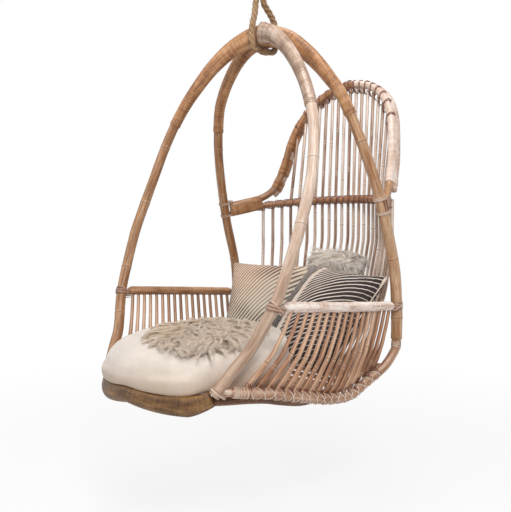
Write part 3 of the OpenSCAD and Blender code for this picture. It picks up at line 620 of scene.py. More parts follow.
wrapped("wrap_honey", (0.2, 0.08, 0.03), (0.43, 0.2, 0.08), (0.62, 0.35, 0.17), 5.5, line=0.4)
wrapped("wrap_pale", (0.56, 0.38, 0.28), (0.76, 0.59, 0.49), (0.88, 0.76, 0.68), 6.5, line=0.25, height=0.3)
# a lighter copy of the pale wrap: painted light for the left armrest, which lies in shade
wrapped("wrap_pale_painted_lit", (0.62, 0.42, 0.32), (0.9, 0.76, 0.68), (0.98, 0.9, 0.84), 6.5, line=0.3, height=0.35)
wrapped("wrap_grey", (0.24, 0.14, 0.09), (0.48, 0.33, 0.24), (0.7, 0.56, 0.46), 6.5, line=0.3)
wrapped("wrap_brown", (0.26, 0.12, 0.05), (0.46, 0.24, 0.12), (0.64, 0.38, 0.21), 5.0)
wrapped("wrap_tan", (0.08, 0.03, 0.008), (0.2, 0.095, 0.027), (0.35, 0.185, 0.06), 5.0, line=0.5)
wrapped("wrap_dark", (0.08, 0.03, 0.012), (0.18, 0.075, 0.03), (0.32, 0.16, 0.07), 6.0, line=0.8)
# the canvas is painted browner towards the cushion's foot: painted shade
cloth("canvas", (0.76, 0.675, 0.6), folds=0.6, low=(-1.345, -1.245, (0.58, 0.42, 0.29)))
cloth("striped_cloth", stripes(True), weave=700.0, sheen=0.05)
cloth("line_cloth", stripes(False), weave=700.0, sheen=0.1)
cloth("hem_cloth", (0.66, 0.56, 0.46))
pelt("fur", (0.18, 0.12, 0.07), (0.64, 0.5, 0.37), (0.97, 0.87, 0.75))
# a lighter copy of the fur: painted light for the throw behind the pillows, which lies in shade
pelt("fur_painted_lit", (0.7, 0.53, 0.42), (1.0, 0.86, 0.75), (1.0, 0.97, 0.92))
hide("fur_ground", (0.22, 0.15, 0.09), (0.46, 0.36, 0.26))
# a lighter copy of the hide: painted light for the same shaded throw
hide("fur_ground_painted_lit", (0.62, 0.47, 0.37), (0.9, 0.76, 0.65))
jute()
steel()
paint()

# ---- the rope sling, its three strands twisted round the route, and its whipping
STRAND_OFF, STRAND_R, LAY = 5.0, 5.9, 58  # a strand's place and size, and the rope's length for one turn of it
WIRE_R = 5  # the hanging ring's
wrap_r = HOOP_R + GAP + WRAP_T
crown_low = CROWN_Z - SAG * (CROWN_H / 2 - wrap_r) - CROWN_H / 2
front, back = -14 - wrap_r - ROPE_R - GAP, 36 + wrap_r + ROPE_R + GAP
low, mid = crown_low - ROPE_R - 2 * GAP, (front + back) / 2
ring_z = DROP - 138.8 - WIRE_R
over_r = WIRE_R + ROPE_R + GAP
lean_z = mix(low + 76, ring_z, 0.42)
rope_route = [
    [-2, mid - 0.3, low], [-2, mid - 8, low], [-2, mid - 20, low], [-2, front + 15, low + 3],
    [-2, front + 5, low + 11], [-2, front, low + 26], [-2, front, low + 50], [-2, front, low + 76],
    [-1, mix(front, -over_r, 0.35), lean_z], [0, -over_r - 3 + HANG, ring_z - 14], [0, -over_r + HANG, ring_z],
    *[[0, over_r * math.cos(a) + HANG, ring_z + over_r * math.sin(a)] for a in np.radians([150, 120, 90, 60, 30])],
    [0, over_r + HANG, ring_z], [0, over_r + 3 + HANG, ring_z - 14], [0, mix(back, over_r, 0.35), lean_z],
    [1, back, low + 76], [1, back, low + 50], [1, back, low + 26], [0, back - 5, low + 11],
    [-1, back - 15, low + 3], [-2, mid + 20, low], [-2, mid + 8, low], [-2, mid + 0.3, low],
]
rope_path = spline(rope_route, 6)
s = np.linspace(0, lengths(rope_path)[-1], 330)
line = at(rope_path, s)
way = unit(np.gradient(line, axis=0))
side = unit(np.cross(way, [1, 0, 0]))
rope = Piece()
for k in range(3):
    out = circle(2 * np.pi * (s / LAY + k / 3), side, np.cross(side, way))
    rope.tube(line + out * STRAND_OFF, STRAND_R, sides=12, step=1.8, end="dome", tint=k / 2)
fluff = Piece()
q = np.linspace(0, 1, 5)[:, None]
for _ in range(150):
    c = rng.uniform(0.05, 0.95) * s[-1]
    w = way[int(c / s[-1] * (len(s) - 1))]
    d = unit(rng.normal(size=3))
    d = unit(d - w * (d @ w) + w * rng.uniform(-0.9, 0.9))
    bend = unit(rng.normal(size=3)) * rng.uniform(0, 3)
    start = at(line, np.array([c]))[0] + unit(d - w * (d @ w)) * 9
    fluff.tube(start + d * q * rng.uniform(3, 7) + bend * q**2, 0.22, sides=4, step=2.0, end="dome", tint=1.0)
rope = rope.make("rope_sling", "rope", "rope", "hanging_rope")
fluff = fluff.make("rope_fibres", "rope", "rope")
lash = np.array([[-2, mid + y, low] for y in np.linspace(14, -14, 15)])
twine = Piece().tube(lash, ROPE_R + 2.4, sides=24, turns=(3.2, 0.9))
twine = twine.make("rope_binding", "rope", "rope", "rope_whipping")
row(rope_route[0]).tolist()
row(rope_path).tolist()

# ---- hoops
share = np.arange(len(main_path)) / STEPS
main_r = HOOP_R + THICKER * np.clip((share - 19) / 2, 0, 1)
main_tint = np.interp(share, [9, 12, 19, 21, 26], [0.45, 0.4, 0.6, 0.95, 0.65])
# the left hoop is painted darker towards its foot: painted shade on the lower leg
left_tint_painted_shade = np.interp(lengths(left_path), [0, 350, 650], [0.05, 0.3, 0.7])
for name, path, r, look, tint, seed in (
    ("hoop_main", main_path, main_r, "rattan_honey", main_tint, 3),
    ("hoop_left", left_path, HOOP_R, "rattan_pale", left_tint_painted_shade, 5),
    ("hoop_right", right_path, HOOP_R, "rattan_honey", 0.4, 8),
):
    rings = spaced(lengths(path)[-1], 60, 200, seed)
    hoop = Piece().tube(path, r, sides=28, step=7, tint=tint, knots=rings, wobble=0.02)
    hoop.make(name + "_pole", look, look, name)

# the wrapped bundles at the crown, deepest at the control point i1
for name, path, i0, i1, i2, ref, look, slot in (
    ("crown_wrap_main", main_path, 8.5, 13, 18.5, unit([-0.28, 1, 0]), "wrap_honey", "wrap_honey"),
    ("crown_wrap_left", left_path, 8.5, 14, 14, unit([-0.28, -1, 0]), "wrap_grey", "wrap_pale"),
    ("crown_wrap_right", right_path, 6.5, 13, 13, unit([0.28, 1, 0]), "wrap_honey", "wrap_honey"),
):
    i = np.arange(int(i0 * STEPS), int(i2 * STEPS) + 1)
    at_i = i / STEPS
    q = np.where(at_i <= i1, (at_i - i0) / (i1 - i0), (i2 - at_i) / max(i2 - i1, 1e-6))
    deep = mix(wrap_r, CROWN_H / 2, np.clip(q, 0, 1) ** 1.3)
    bundle, sag = path[i], SAG * (deep - wrap_r)
    sleeve = Piece().tube(bundle, deep, wrap_r, ref, sides=32, turns=(5.5, 0.35), shift=sag, square=0.93)
    sleeve.wound(bundle, 2, 15, wrap_r - 0.6, 6.5, tint=0.6)
    if i1 != i2:
        total = lengths(bundle)[-1]
        sleeve.wound(bundle, total - 15, total - 2, wrap_r - 0.2, 6.5, tint=0.6)
    sleeve.make(name + "_cane", look, slot, name)

# ---- armrests
s = lengths(arm_path)
thin = ARM_R * (0.7 + 0.3 * np.clip(np.minimum(s, s[-1] - s) / 24, 0, 1) ** 0.7)
# the left armrest has the lighter copy of the pale wrap, painted light for its shaded place
for (m, hand), turns, look, slot in zip(
    SIDES, ((6.5, 0.25), (5.0, 0.7)), ("wrap_pale_painted_lit", "wrap_brown"), ("wrap_pale", "wrap_honey")
):
    sleeve = Piece().tube(arm_path * (m, 1, 1), thin, sides=24, turns=turns, end="dome")
    sleeve.make(f"armrest_{hand}_cane", look, slot, f"armrest_{hand}")

# ---- rails, back frame, base ring, front roll
for name, path, r, look, slot, tint, seed in (
    ("back_rail", mid_path, MID_R, "rattan_brown", "rattan_brown", 0.55, 11),
    ("back_frame", frame_path, FRAME_R, "rattan_honey", "rattan_pale", 0.5, 12),
    ("back_frame_outer", outer_path, OUTER_R, "rattan_pale", "rattan_pale", 0.45, 13),
    ("side_rail_left", side_path, RAIL_R, "rattan_rail", "rattan_pale", 0.5, 14),
    ("side_rail_right", flip(side_path), RAIL_R, "rattan_rail", "rattan_honey", 0.45, 15),
    ("rear_rail", rear_path, REAR_R, "rattan_honey", "rattan_honey", 0.4, 16),
):
    rings = spaced(lengths(path)[-1], 40, 170, seed)
    Piece().tube(path, r, sides=22, tint=tint, knots=rings, wobble=0.02).make(name + "_pole", look, slot, name)

# the base ring's two ends meet in front
half_gap = np.array([GAP / 2, 0, 0])
base_path = np.vstack([
    base_half[0] + half_gap, base_side[1:-1], base_half[-1], flip(base_side[-2:0:-1]), base_half[0] - half_gap,
])
base = Piece().tube(spline(base_path, 6), BASE_R, sides=18, turns=(6.0, 1.1), tint=0.4)
base.make("base_ring_cane", "wrap_dark", "rattan_dark", "base_ring")
roll = Piece().tube(roll_path, roll_half_w, roll_half_h, [0, 0, 1], sides=36, turns=(5.0, 0.4))
roll.make("front_roll_cane", "wrap_tan", "wrap_tan", "front_roll")

# cane sleeves over the frame's two poles: one long pale one, and short brown ones on the other side
sleeve_off = (FRAME_R + OUTER_R + GAP + OUTER_R - FRAME_R) / 2
sleeve_half = (FRAME_R + OUTER_R + GAP + OUTER_R + FRAME_R) / 2 + 0.8
middle = frame_path + sleeve_off * behind
count = len(frame_path) - 1
join_half = mix(np.array(mid_half[:3], float), np.array(frame_half[:3], float), 0.5)


def sleeve_over(piece, first, last, pitch, depth):
    part = slice(first, last + 1)
    turns = (pitch, depth)
    return piece.tube(middle[part], FRAME_R + 0.9, sleeve_half, behind[part], sides=30, turns=turns, square=0.62)


sleeve_over(Piece(), count - 86, count - 27, 6.5, 0.2).make("frame_sleeve_left", "wrap_pale", "wrap_pale")
brown = Piece()
for first, last in ((27, 33), (36, 43), (47, 60), (64, 84)):
    sleeve_over(brown, first, last, 5.5, 0.5)
for m in (1, -1):
    part = spline(join_half * (m, 1, 1))
    brown.tube(part, 27.5, 14.6, unit([m * 0.85, 0.5, 0]), sides=30, turns=(5.5, 0.3), square=0.62)
brown.make("frame_sleeves_right", "wrap_honey", "wrap_honey")

# ---- slats
TALL_X = (TALL + 0.5) * PITCH  # the back slats within this reach the frame's top
hold = RAIL_R + SLAT_R + 1.8


def seat_z(y):
    """Height of the seat slats' middles at y."""
    return find(base_side, 1, y)[0][2] + BASE_R + SLAT_R + 2 * GAP


def slat(piece, path, seed, tint, r=SLAT_R):
    rings = spaced(lengths(path)[-1], 30 * ((seed * 37 % 10) / 10), 150, seed)
    piece.tube(path, r, sides=12, step=7, tint=tint, knots=rings, wobble=0.025)


def rail_at(x):
    """The middle rail at x, its direction, and how far behind it the slats stand."""
    m, way = find(mid_side, 0, x)
    return m, way, (MID_R + SLAT_R + 1.3) / abs(way[0])


def back_route(x):
    """From the top, down behind the middle rail, and forward to the rear rail."""
    m, _, rest = rail_at(x)
    b = find(rear_side, 0, 0.86 * x)[0]
    end, y = np.array([b[0], b[1] - REAR_R - SLAT_R - 0.8, b[2]]), m[1] + rest
    top = [x, y, m[2] + MID_R + 3]
    if x < TALL_X:
        p, t = find(frame_top, 0, x)
        c = abs(t[2])
        top = [p[0], p[1], p[2] - (FRAME_R + GAP + SLAT_R * c + 2) / math.sqrt(1 - c * c) + 2.4]
    lean = lambda u, v, w: [mix(x, b[0], u), mix(y, end[1], v), mix(m[2], end[2], w)]
    return np.array([
        top, [x, y, m[2]], [x, y, m[2] - 150], lean(0.3, 0.16, 0.52), lean(0.75, 0.58, 0.8),
        end + [0, 4, 22], end + [0, -2, -14],
    ])


def rail_y(s):
    """Where the side slat s crosses the side rail."""
    return mix(-352, 172, (s / (SIDE_SLATS - 1)) ** 0.96)


def side_slat_route(i):
    """From the armrest, down and in under the side rail."""
    a = find(arm_side, 1, mix(-262, 190, i / (SIDE_SLATS - 1)))[0]
    b, t = find(rail_side, 1, rail_y(i))
    w = unit(np.cross(t, [0, 0, 1]))
    s = b + 0.72 * hold * (np.cross(w, t) - w)
    lean = lambda u, v, w2: [mix(a[0], s[0], u), mix(a[1], b[1], v), mix(a[2], s[2], w2)]
    return np.array([
        a - [0, 0, ARM_R - 1], lean(0.16, 0.14, 0.3), lean(0.42, 0.4, 0.6), lean(0.74, 0.74, 0.85), s,
        b - hold * w - [0, 0, 2], b - hold * w - [0, 0, 18],
    ])


seat = Piece()
for i in range(SEAT_SLATS):
    y = mix(base_half[0][1] + 62, base_half[-1][1] - 62, i / (SEAT_SLATS - 1))
    x = find(base_side, 1, y)[0][0] + 3
    slat(seat, [[-x, y, seat_z(y)], [x, y, seat_z(y)]], 60 + i, rng.uniform(0.2, 0.7), r=7.6)
seat.make("seat_slat_poles", "slat_tan", "slat_tan", "seat_slats")

slats = Piece()
for i in range(-TALL - SHORT, TALL + SHORT + 1):
    route = back_route(abs(i) * PITCH)
    tone = (0.86 if i % 2 else 0.34) + rng.uniform(-0.25, 0.2)
    slat(slats, soften(flip(route) if i < 0 else route), 90 + i, tone)
slats.make("back_slat_poles", "slat_pale", "slat_pale", "back_slats")

for (m, hand), look, slot in zip(SIDES, ("slat_side", "slat_tan"), ("slat_pale", "slat_tan")):
    sides = Piece()
    for i in range(SIDE_SLATS):
        route = soften(side_slat_route(i) * (m, 1, 1), 14)
        share = lengths(route) / lengths(route)[-1]
        thick = np.interp(share, [0, 0.35, 0.75, 0.9, 1], [5.6, 6.0, 8.0, 7.5, 6.0])
        slat(sides, route, 130 + i + 30 * m, rng.uniform(0.1, 0.95), r=thick)
    sides.make(f"side_slat_poles_{hand}", look, slot, f"side_slats_{hand}")

# ---- lashings: two crossed strings on each side rail, and a binding round each slat's end
turns = np.arange(0, (SIDE_SLATS - 1) * 20 + 1) / 20
s = turns + 0.9 * np.sin(2 * np.pi * turns) / (2 * np.pi)
centre = np.array([find(side_path, 1, rail_y(v))[0] for v in s])
way = np.array([find(rail_side, 1, rail_y(v))[1] for v in s])
across = unit(np.cross(way, [0, 0, 1]))
for m, hand in SIDES:
    lashing = Piece()
    for wind, off, tint in ((1, 1.0, 0.8), (-1, 2.0, 1.0)):
        out = circle(2 * np.pi * turns * wind, across, np.cross(across, way))
        lashing.strip((centre + out * (RAIL_R + off)) * (m, 1, 1), out * (m, 1, 1), 2.8, 1.8, tint)
    lashing.wound(side_path * (m, 1, 1), 4, 20, RAIL_R, 4.4, width=4, tint=0.8)
    lashing.make(f"rail_cane_{hand}", "cane", "cane", f"rail_lashing_{hand}")
    knots = Piece()
    for k in range(SIDE_SLATS):
        b, t = find(rail_side, 1, rail_y(k))
        w = unit(side_slat_route(k)[4] - b)
        e = np.cross(t, w)
        for lean, tint in ((0.5, 0.25), (-0.5, 0.55)):
            knots.loop(b + w * 9, w * (RAIL_R + 9), e * (RAIL_R + 0.6) + t * 6 * lean, m, 2.4, 1.5, tint)
    knots.make(f"rail_binding_{hand}", "binding", "rattan_brown")


def joint_at(leg, z, towards):
    """A leg at the height z: the point, the leg's direction, the way to what it meets there, and the way across."""
    c, t = find(leg, 2, z)
    d = unit((towards - c) - t * ((towards - c) @ t))
    return c, t, d, np.cross(t, d)


# the armrests' ends, bound to the legs, and the square loops where the rails of the back meet the legs
arms, dark, joints = Piece(), Piece(), Piece()
rear_r = {1: HOOP_R + THICKER, -1: HOOP_R}
for m in (1, -1):
    fade = 1 if m > 0 else 0.35
    for leg, end, inward, r in (
        (front_up, arm_path[0], arm_path[6], HOOP_R), (back_up, arm_path[-1], arm_path[-7], rear_r[m])
    ):
        c, t, d, e = joint_at(leg, end[2], inward)
        for lift, tilt, tint in ((-6.5, 0.12, 0.05), (-2.2, 0.14, 0.6), (2.2, 0.1, 0.1), (6.5, 0.12, 0.55)):
            arms.loop(c + t * lift + d * 9, d * 29 + t * 29 * tilt, e * (r + 2.0), m, 3.8, 2.4, tint * fade)
        arms.loop(c + t * 1 + d * 10, d * 27 - t * 27 * 0.42, e * (r + 4.0), m, 3.4, 2.0, 0.7 * fade)
        for lift in (-9, 0, 9):
            dark.loop(c + t * lift, d * (r + 1.2), e * (r + 1.2), m, 2.2, 1.6, 0.3, full=1.0)
arms.make("arm_cane", "cane", "cane", "arm_lashings")
c, t, d, e = joint_at(back_up, 62, join_half[1])
for m in (1, -1):
    r, fade = rear_r[m], 1 if m > 0 else 0.4
    for lift, tint in ((-24, 0.85), (-19, 0.6), (22, 0.85), (27, 0.6)):
        joints.loop(c + t * lift + d * 8, d * (r + 11), e * (r + 2.6), m, 4.2, 2.2, tint * fade)
    for a in (-0.9, -0.3, 0.3, 0.9, 2.2, 2.8, 3.4, 4.0):
        out = (1 if a > 2 else -1) * (math.cos(a) * e + math.sin(a) * d)
        upright = np.array([c + out * (r + 1.4) + t * z for z in (-22, 0, 25)])
        dark.strip(upright * (m, 1, 1), np.tile(out * (m, 1, 1), (3, 1)), 2.4, 1.4, 0.45)
joints.make("joint_cane", "cane", "cane", "back_lashings")

# zigzag binding of the back slats: round the middle rail, and under the frame's top
for i in range(-TALL - SHORT, TALL + SHORT + 1):
    x, m = abs(i) * PITCH, 1 if i >= 0 else -1
    p, way, rest = rail_at(x)
    for tilt in (0.55, -0.55):
        c = np.array([x, p[1] + (rest + SLAT_R - MID_R) / 2, p[2]])
        d1 = [0, (rest + SLAT_R + MID_R) / 2 + 1.4, 0]
        d2 = [way[0] * 14 * tilt, way[1] * 14 * tilt, 14 + abs(tilt)]
        dark.loop(c, d1, d2, m, 3.4, 2.0, 0.35 + 0.3 * rng.random())
    if x < TALL_X:
        p, t = find(frame_top, 0, x)
        down = unit(np.array([0, 0, -1]) + t * t[2])
        d1 = unit(np.cross(t, down)) * (FRAME_R + 2.2)
        for tilt in (0.55, 0.2):
            d2 = down * (FRAME_R + 11) + t * 20 * tilt
            dark.loop(p + down * 8, d1, d2, m, 3.2, 2.0, 0.3 + 0.3 * rng.random())
dark.make("slat_binding", "binding", "rattan_brown")

# the side rails' boots at the feet, and turns of cane on both ends of the rails
feet, span = Piece(), lengths(side_path)[-1]
start = np.array(side_route[0], float)
c, t, d, e = joint_at(front_up, foot[2] + 12, start)
boot = np.array([mix(c, start, 0.3), mix(c, start, 0.65), start + (start - c) * 0.1])
for m in (1, -1):
    feet.tube(boot * (m, 1, 1), 12.5, sides=20, turns=(5.5, 0.6), end="dome")
    for lift, tint in ((-3, 0.9), (3, 0.3)):
        feet.loop(c + t * lift + d * 7, d * 24, e * (HOOP_R + 1.8), m, 4, 2.2, tint)
    feet.wound(side_path * (m, 1, 1), span - 26, span - 6, RAIL_R + 0.3, 5.5, width=4.6, tint=0.7)
    feet.wound(side_path * (m, 1, 1), 22, 46, RAIL_R + 0.4, 9, width=3.6, tint=0.85)
feet.make("foot_cane", "cane", "cane", "foot_lashings")


# ---- soft goods
def plain(name, points, faces):
    return linked(name, mesh_of(name, points, faces))


def coords(obj):
    co = np.empty(len(obj.data.vertices) * 3, np.float32)
    obj.data.vertices.foreach_get("co", co)
    return co.reshape(-1, 3).astype(float)


def move_to(obj, co):
    obj.data.vertices.foreach_set("co", co.astype(np.float32).ravel())


def state(obj):
    return obj.evaluated_get(bpy.context.evaluated_depsgraph_get())


def apply(obj):
    mesh = bpy.data.meshes.new_from_object(state(obj))
    obj.modifiers.clear()
    obj.data = mesh


def inflate(obj, voxel, cap, pressure=4.0, pinned=None):
    """Cloth blown up a little, so that the cover is drawn and creased as a real one. A point moves at most cap."""
    remesh = obj.modifiers.new("remesh", "REMESH")
    remesh.mode, remesh.voxel_size = "VOXEL", voxel
    apply(obj)
    rest = coords(obj)
    sim = obj.modifiers.new("cloth", "CLOTH")
    sim.settings.use_pressure, sim.settings.uniform_pressure_force = True, pressure
    sim.settings.effector_weights.gravity = 0
    sim.settings.mass, sim.settings.quality = 0.2, 4
    if pinned is not None:
        group = obj.vertex_groups.new(name="pin")
        group.add([int(i) for i in np.nonzero(pinned(rest))[0]], 1.0, "REPLACE")
        sim.settings.vertex_group_mass = "pin"
    sim.point_cache.frame_start, sim.point_cache.frame_end = 1, 20
    for f in range(1, 21):
        scene.frame_set(f)
    step = coords(state(obj)) - rest
    far = np.linalg.norm(step, axis=1, keepdims=True)
    obj.modifiers.clear()
    obj.vertex_groups.clear()
    move_to(obj, rest + step * np.minimum(1, cap / np.maximum(far, 1e-9)))
    scene.frame_set(1)
    sub = obj.modifiers.new("smooth", "SUBSURF")
    sub.levels = sub.render_levels = 1
    apply(obj)


def dressed(obj, look, node):
    """The cover of a padded piece, in place of the plain object."""
    mesh = obj.data
    bpy.data.objects.remove(obj)
    return finished(node + "_cover", mesh, look, (node,))


# the cushion: its outline, by the turn from the front and the reach there, and its top and underside
reach_at = [0, 22, 38, 46, 55, 66, 78, 90, 120, 150, 180]
reach_mm = [302, 307, 314, 306, 286, 277, 289, 294, 284, 276, 274]
seam_at = lambda y: -402 + 0.07 * (y - CUSHION_Y)
roll_top = roll_path[:, 2] + roll_half_h + 3 * GAP


def cushion_low(x, y):
    """The underside rests on the slats and, in front, sinks into the roll."""
    flat = seat_z(min(max(y, base_half[0][1] + 1), base_half[-1][1] - 1)) + SLAT_R + 5.5 * GAP
    if y > CUSHION_Y:
        return flat
    t = min(1, max(0, (math.hypot(x, y - ROLL_Y) - roll_arc + ROLL_W / 2 + 22) / 18))
    near = float(np.interp(math.atan2(y - ROLL_Y, x), roll_turn, roll_top))
    return mix(flat, near, t * t * (3 - 2 * t)) - 8 * t


def cushion_top(x, y):
    q = np.minimum(1, np.hypot(x, y - CUSHION_Y) / 300)
    return seam_at(y) + 78 * np.sqrt(1 - q**6) - 8 * (1 - q * q)


def cushion_edge(a):
    """The cushion's outline at the turn a, in degrees from the front."""
    r = np.mean([np.interp(abs((a + d + 180) % 360 - 180), reach_at, reach_mm) for d in (-6, -3, 0, 3, 6)])
    return r * math.sin(math.radians(a)), CUSHION_Y - r * math.cos(math.radians(a))


# rings from the middle of the underside, out round the edge and in over the top: share of the reach, and height
spans = spline([
    [0.02, -1], [0.3, -1], [0.56, -1], [0.7, -1], [0.8, -1], [0.88, -1], [0.95, -1], [0.985, -0.8],
    [1, -0.15], [0.975, 1], [0.9, 1], [0.76, 1], [0.55, 1], [0.3, 1], [0.02, 1],
], 2)
AROUND = 96
shell = []
for q, h in spans:
    h = float(np.clip(h, -1, 1))
    for k in range(AROUND):
        ex, ey = cushion_edge(360 * k / AROUND)
        x, y = q * ex, CUSHION_Y + q * (ey - CUSHION_Y)
        seam = seam_at(y)
        z = mix(seam, float(cushion_top(x, y)), h) if h > 0 else mix(seam, cushion_low(x, y), -h)
        shell.append([x * 0.993, CUSHION_Y + (y - CUSHION_Y) * 0.993, mix(seam, z, 0.975)])
quads = []
for i in range(0, len(shell) - AROUND, AROUND):
    for k in range(AROUND):
        k2 = (k + 1) % AROUND
        quads.append([i + k, i + AROUND + k, i + AROUND + k2, i + k2])
quads += [list(range(AROUND)), list(range(len(shell) - 1, len(shell) - AROUND - 1, -1))]
cushion = plain("cushion", row(shell), quads)
inflate(cushion, 0.007, 0.006)
cushion = dressed(cushion, "canvas", "seat_cushion")

# pillows
g = -np.cos(np.pi * np.arange(27) / 26)
U, V = np.meshgrid(g, g, indexing="ij")
turn = lambda axis, deg: Matrix.Rotation(math.radians(deg), 4, axis)


def pillow(name, centre, tilt, front, back, look, trim):
    """A square pillow. front and back say towards which side that face is pressed flat."""
    drawn_in = lambda a, b: SIDE / 2 * a * (1 - 0.07 * (1 - b**2) * a**2)
    dome = ((1 - U**2) * (1 - V**2)).clip(0) ** 0.45
    rise = lambda p: 2 + (THICK / 2 - 2) * dome * (1 - np.clip(U * p + 0.15 * abs(p), 0, 0.85))
    px, pz = drawn_in(U, V), drawn_in(V, U)
    pts = np.concatenate([np.stack([px, y, pz], -1).reshape(-1, 3) for y in (-rise(front), rise(back))])
    m = len(g)
    w = m * m
    faces = []
    for i in range(m - 1):
        for j in range(m - 1):
            a = i * m + j
            faces += [[a, a + m, a + m + 1, a + 1], [w + a, w + a + 1, w + a + m + 1, w + a + m]]
        for a, b in ((i, i + 1), (w - m + i + 1, w - m + i), ((i + 1) * m, i * m), (i * m + m - 1, (i + 1) * m + m - 1)):
            faces.append([a, b, w + b, w + a])
    obj = plain("pillow", pts / 1000 * (0.985, 0.96, 0.985), faces)
    out_at = lambda co: np.maximum(np.abs(co[:, 0]), np.abs(co[:, 2]))
    inflate(obj, 0.006, 0.007, 6.0, lambda co: (np.abs(co[:, 1]) < 0.007) & (out_at(co) > 0.442 * SIDE / 1000))

    co = coords(obj)
    x, z = co[:, 0], co[:, 2]
    edge = out_at(co) * 2000 / SIDE
    crease = 0.0022 * np.sin(x * 38 + z * 21) * np.sin(z * 33 - x * 9) * np.clip((1 - edge) * 3, 0, 1)
    pucker = 0.0016 * np.sin((x + z) * 260) * np.clip((edge - 0.72) / 0.2, 0, 1) * np.clip((1 - edge) * 8, 0, 1)
    co[:, 1] += (crease + pucker) * np.sign(co[:, 1])
    index = np.empty(len(obj.data.loops), np.int32)
    obj.data.loops.foreach_get("vertex_index", index)
    uv = (co[:, [0, 2]] * 1000 / SIDE + 0.5)[index]
    obj.data.uv_layers.new(name="UVMap").data.foreach_set("uv", uv.astype(np.float32).ravel())
    move_to(obj, co)
    spin = Matrix.Translation(row(centre).tolist()) @ tilt
    obj.data.transform(spin)
    dressed(obj, look, name)

    rim_uv = [(t, -1) for t in g] + [(1, t) for t in g[1:]] + [(-t, 1) for t in g[1:]] + [(-1, -t) for t in g[1:]]
    rim = np.array([[drawn_in(a, b), 0, drawn_in(b, a)] for a, b in rim_uv]) * 0.985
    spun = lambda p: np.array([tuple(spin @ Vector(v / 1000)) for v in p])
    Piece().tube(rim, 2.6, sides=8, step=7).make(name + "_welt", trim, look, place=spun)


def pillow_z(up):
    return seat_z(100) + SLAT_R + up * SIDE


tilt = turn("Z", -8) @ turn("X", -38) @ turn("Y", 5)
pillow("pillow_left", [122.5, 150.7, pillow_z(0.43)], tilt, 0, -1, "striped_cloth", "hem_cloth")
tilt = turn("Z", 28) @ turn("X", -32.7)
pillow("pillow_right", [-135, 208, pillow_z(0.4264)], tilt, 1, 0, "line_cloth", "line_cloth")

# ---- furry throws: a thin hide, with locks of long hair
HAIR_N, HAIR_SIDES = 7, 3  # points along a strand, and round it


def hide_sheet(node, top, bottom, look):
    """A closed sheet between two grids of points, each rows by columns."""
    n, m = top.shape[:2]
    w = n * m
    idx = np.arange(w).reshape(n, m)
    a, b, c, d = idx[:-1, :-1], idx[:-1, 1:], idx[1:, 1:], idx[1:, :-1]
    faces = np.stack([a, b, c, d, w + a, w + d, w + c, w + b], -1).reshape(-1, 4).tolist()
    rim = np.concatenate([idx[0, :], idx[1:, -1], idx[-1, -2::-1], idx[-2:0:-1, 0]]).tolist()
    faces += [[b, a, w + a, w + b] for a, b in zip(rim, rim[1:] + rim[:1])]
    mesh = mesh_of(node + "_hide", row(np.concatenate([top.reshape(-1, 3), bottom.reshape(-1, 3)])), faces)
    return finished(node + "_hide", mesh, look, (node,))


def fur(name, roots, normals, leans, look, seed,
        per=22, long=(52, 96), thick=0.58, spread=6.5, share=1.0, draw=0.56):
    """Locks of hair. A lock's strands start round its root and draw together towards their tips."""
    r = np.random.default_rng(seed)
    n = len(roots)
    size = (r.uniform(*long, n) * share)[:, None, None]
    side = unit(np.cross(normals, leans))
    t = np.linspace(0, 1, HAIR_N)[None, :, None]
    lift = r.uniform(0.4, 0.8, (n, 1, 1))
    curl = r.normal(0, 0.14, (n, 1, 1))
    rise = normals[:, None] * (lift * t - (lift + 0.05) * t**2)
    axis = roots[:, None] + size * (leans[:, None] * t * 0.92 + rise + side[:, None] * curl * np.sin(3 * t))
    off = r.normal(0, spread, (n, per, 1, 2))
    off = off[..., :1] * side[:, None, None] + off[..., 1:] * leans[:, None, None]
    strands = axis[:, None] + off * (1 - draw * t[:, None] ** 0.8)
    strands = strands + np.cumsum(r.normal(0, 0.55, strands.shape), axis=2) * t[:, None]
    strands = strands.reshape(-1, HAIR_N, 3)
    count = len(strands)

    way = unit(np.gradient(strands, axis=1))
    a = unit(np.cross(way, [0.1, 0.2, 1]))
    b = np.cross(a, way)
    width = thick * np.array([0.9, 1, 0.95, 0.8, 0.6, 0.38, 0.12])[None, :, None, None]
    ang = 2 * np.pi * np.arange(HAIR_SIDES) / HAIR_SIDES
    ring = np.cos(ang)[:, None] * a[:, :, None] + np.sin(ang)[:, None] * b[:, :, None]
    points = row((strands[:, :, None] + width * ring).reshape(-1, 3))
    each = HAIR_N * HAIR_SIDES
    base = (np.arange(count) * each)[:, None, None]
    i, k = np.meshgrid(np.arange(HAIR_N - 1), np.arange(HAIR_SIDES), indexing="ij")
    here, k2 = base + i * HAIR_SIDES, (k + 1) % HAIR_SIDES
    quads = np.stack([here + k, here + 3 + k, here + 3 + k2, here + k2], -1).reshape(-1, 4)
    caps = np.concatenate([base[:, 0] + [0, 1, 2], base[:, 0] + [each - 1, each - 2, each - 3]])
    u = np.stack([i, i + 1, i + 1, i], -1) / (HAIR_N - 1)
    uv = [np.tile(np.stack([u, np.zeros_like(u)], -1).reshape(-1), count)]
    uv += [np.tile(end, HAIR_SIDES * count) for end in ([0, 0], [1, 0])]
    tint = np.clip(np.repeat(r.random(n), per) * 0.7 + r.random(n * per) * 0.3, 0, 1)
    faces = quads.tolist() + caps.tolist()
    return finished(name, mesh_of(name, points, faces, np.concatenate(uv), tint=np.repeat(tint, each)), look)


# the throw on the seat: a wavy oval, laid askew on the cushion
THROW_X, THROW_Y, THROW_L, THROW_W = 40, -284, 205, 146


def throw_at(a, s):
    """The point at the turn a and the share s of the throw's reach."""
    r = 1 + 0.07 * np.cos(3 * a + math.radians(40))
    x, y, c = THROW_L * r * s * np.cos(a), THROW_W * r * s * np.sin(a), math.sqrt(0.5)
    return THROW_X + (x + y) * c, THROW_Y + (y - x) * c


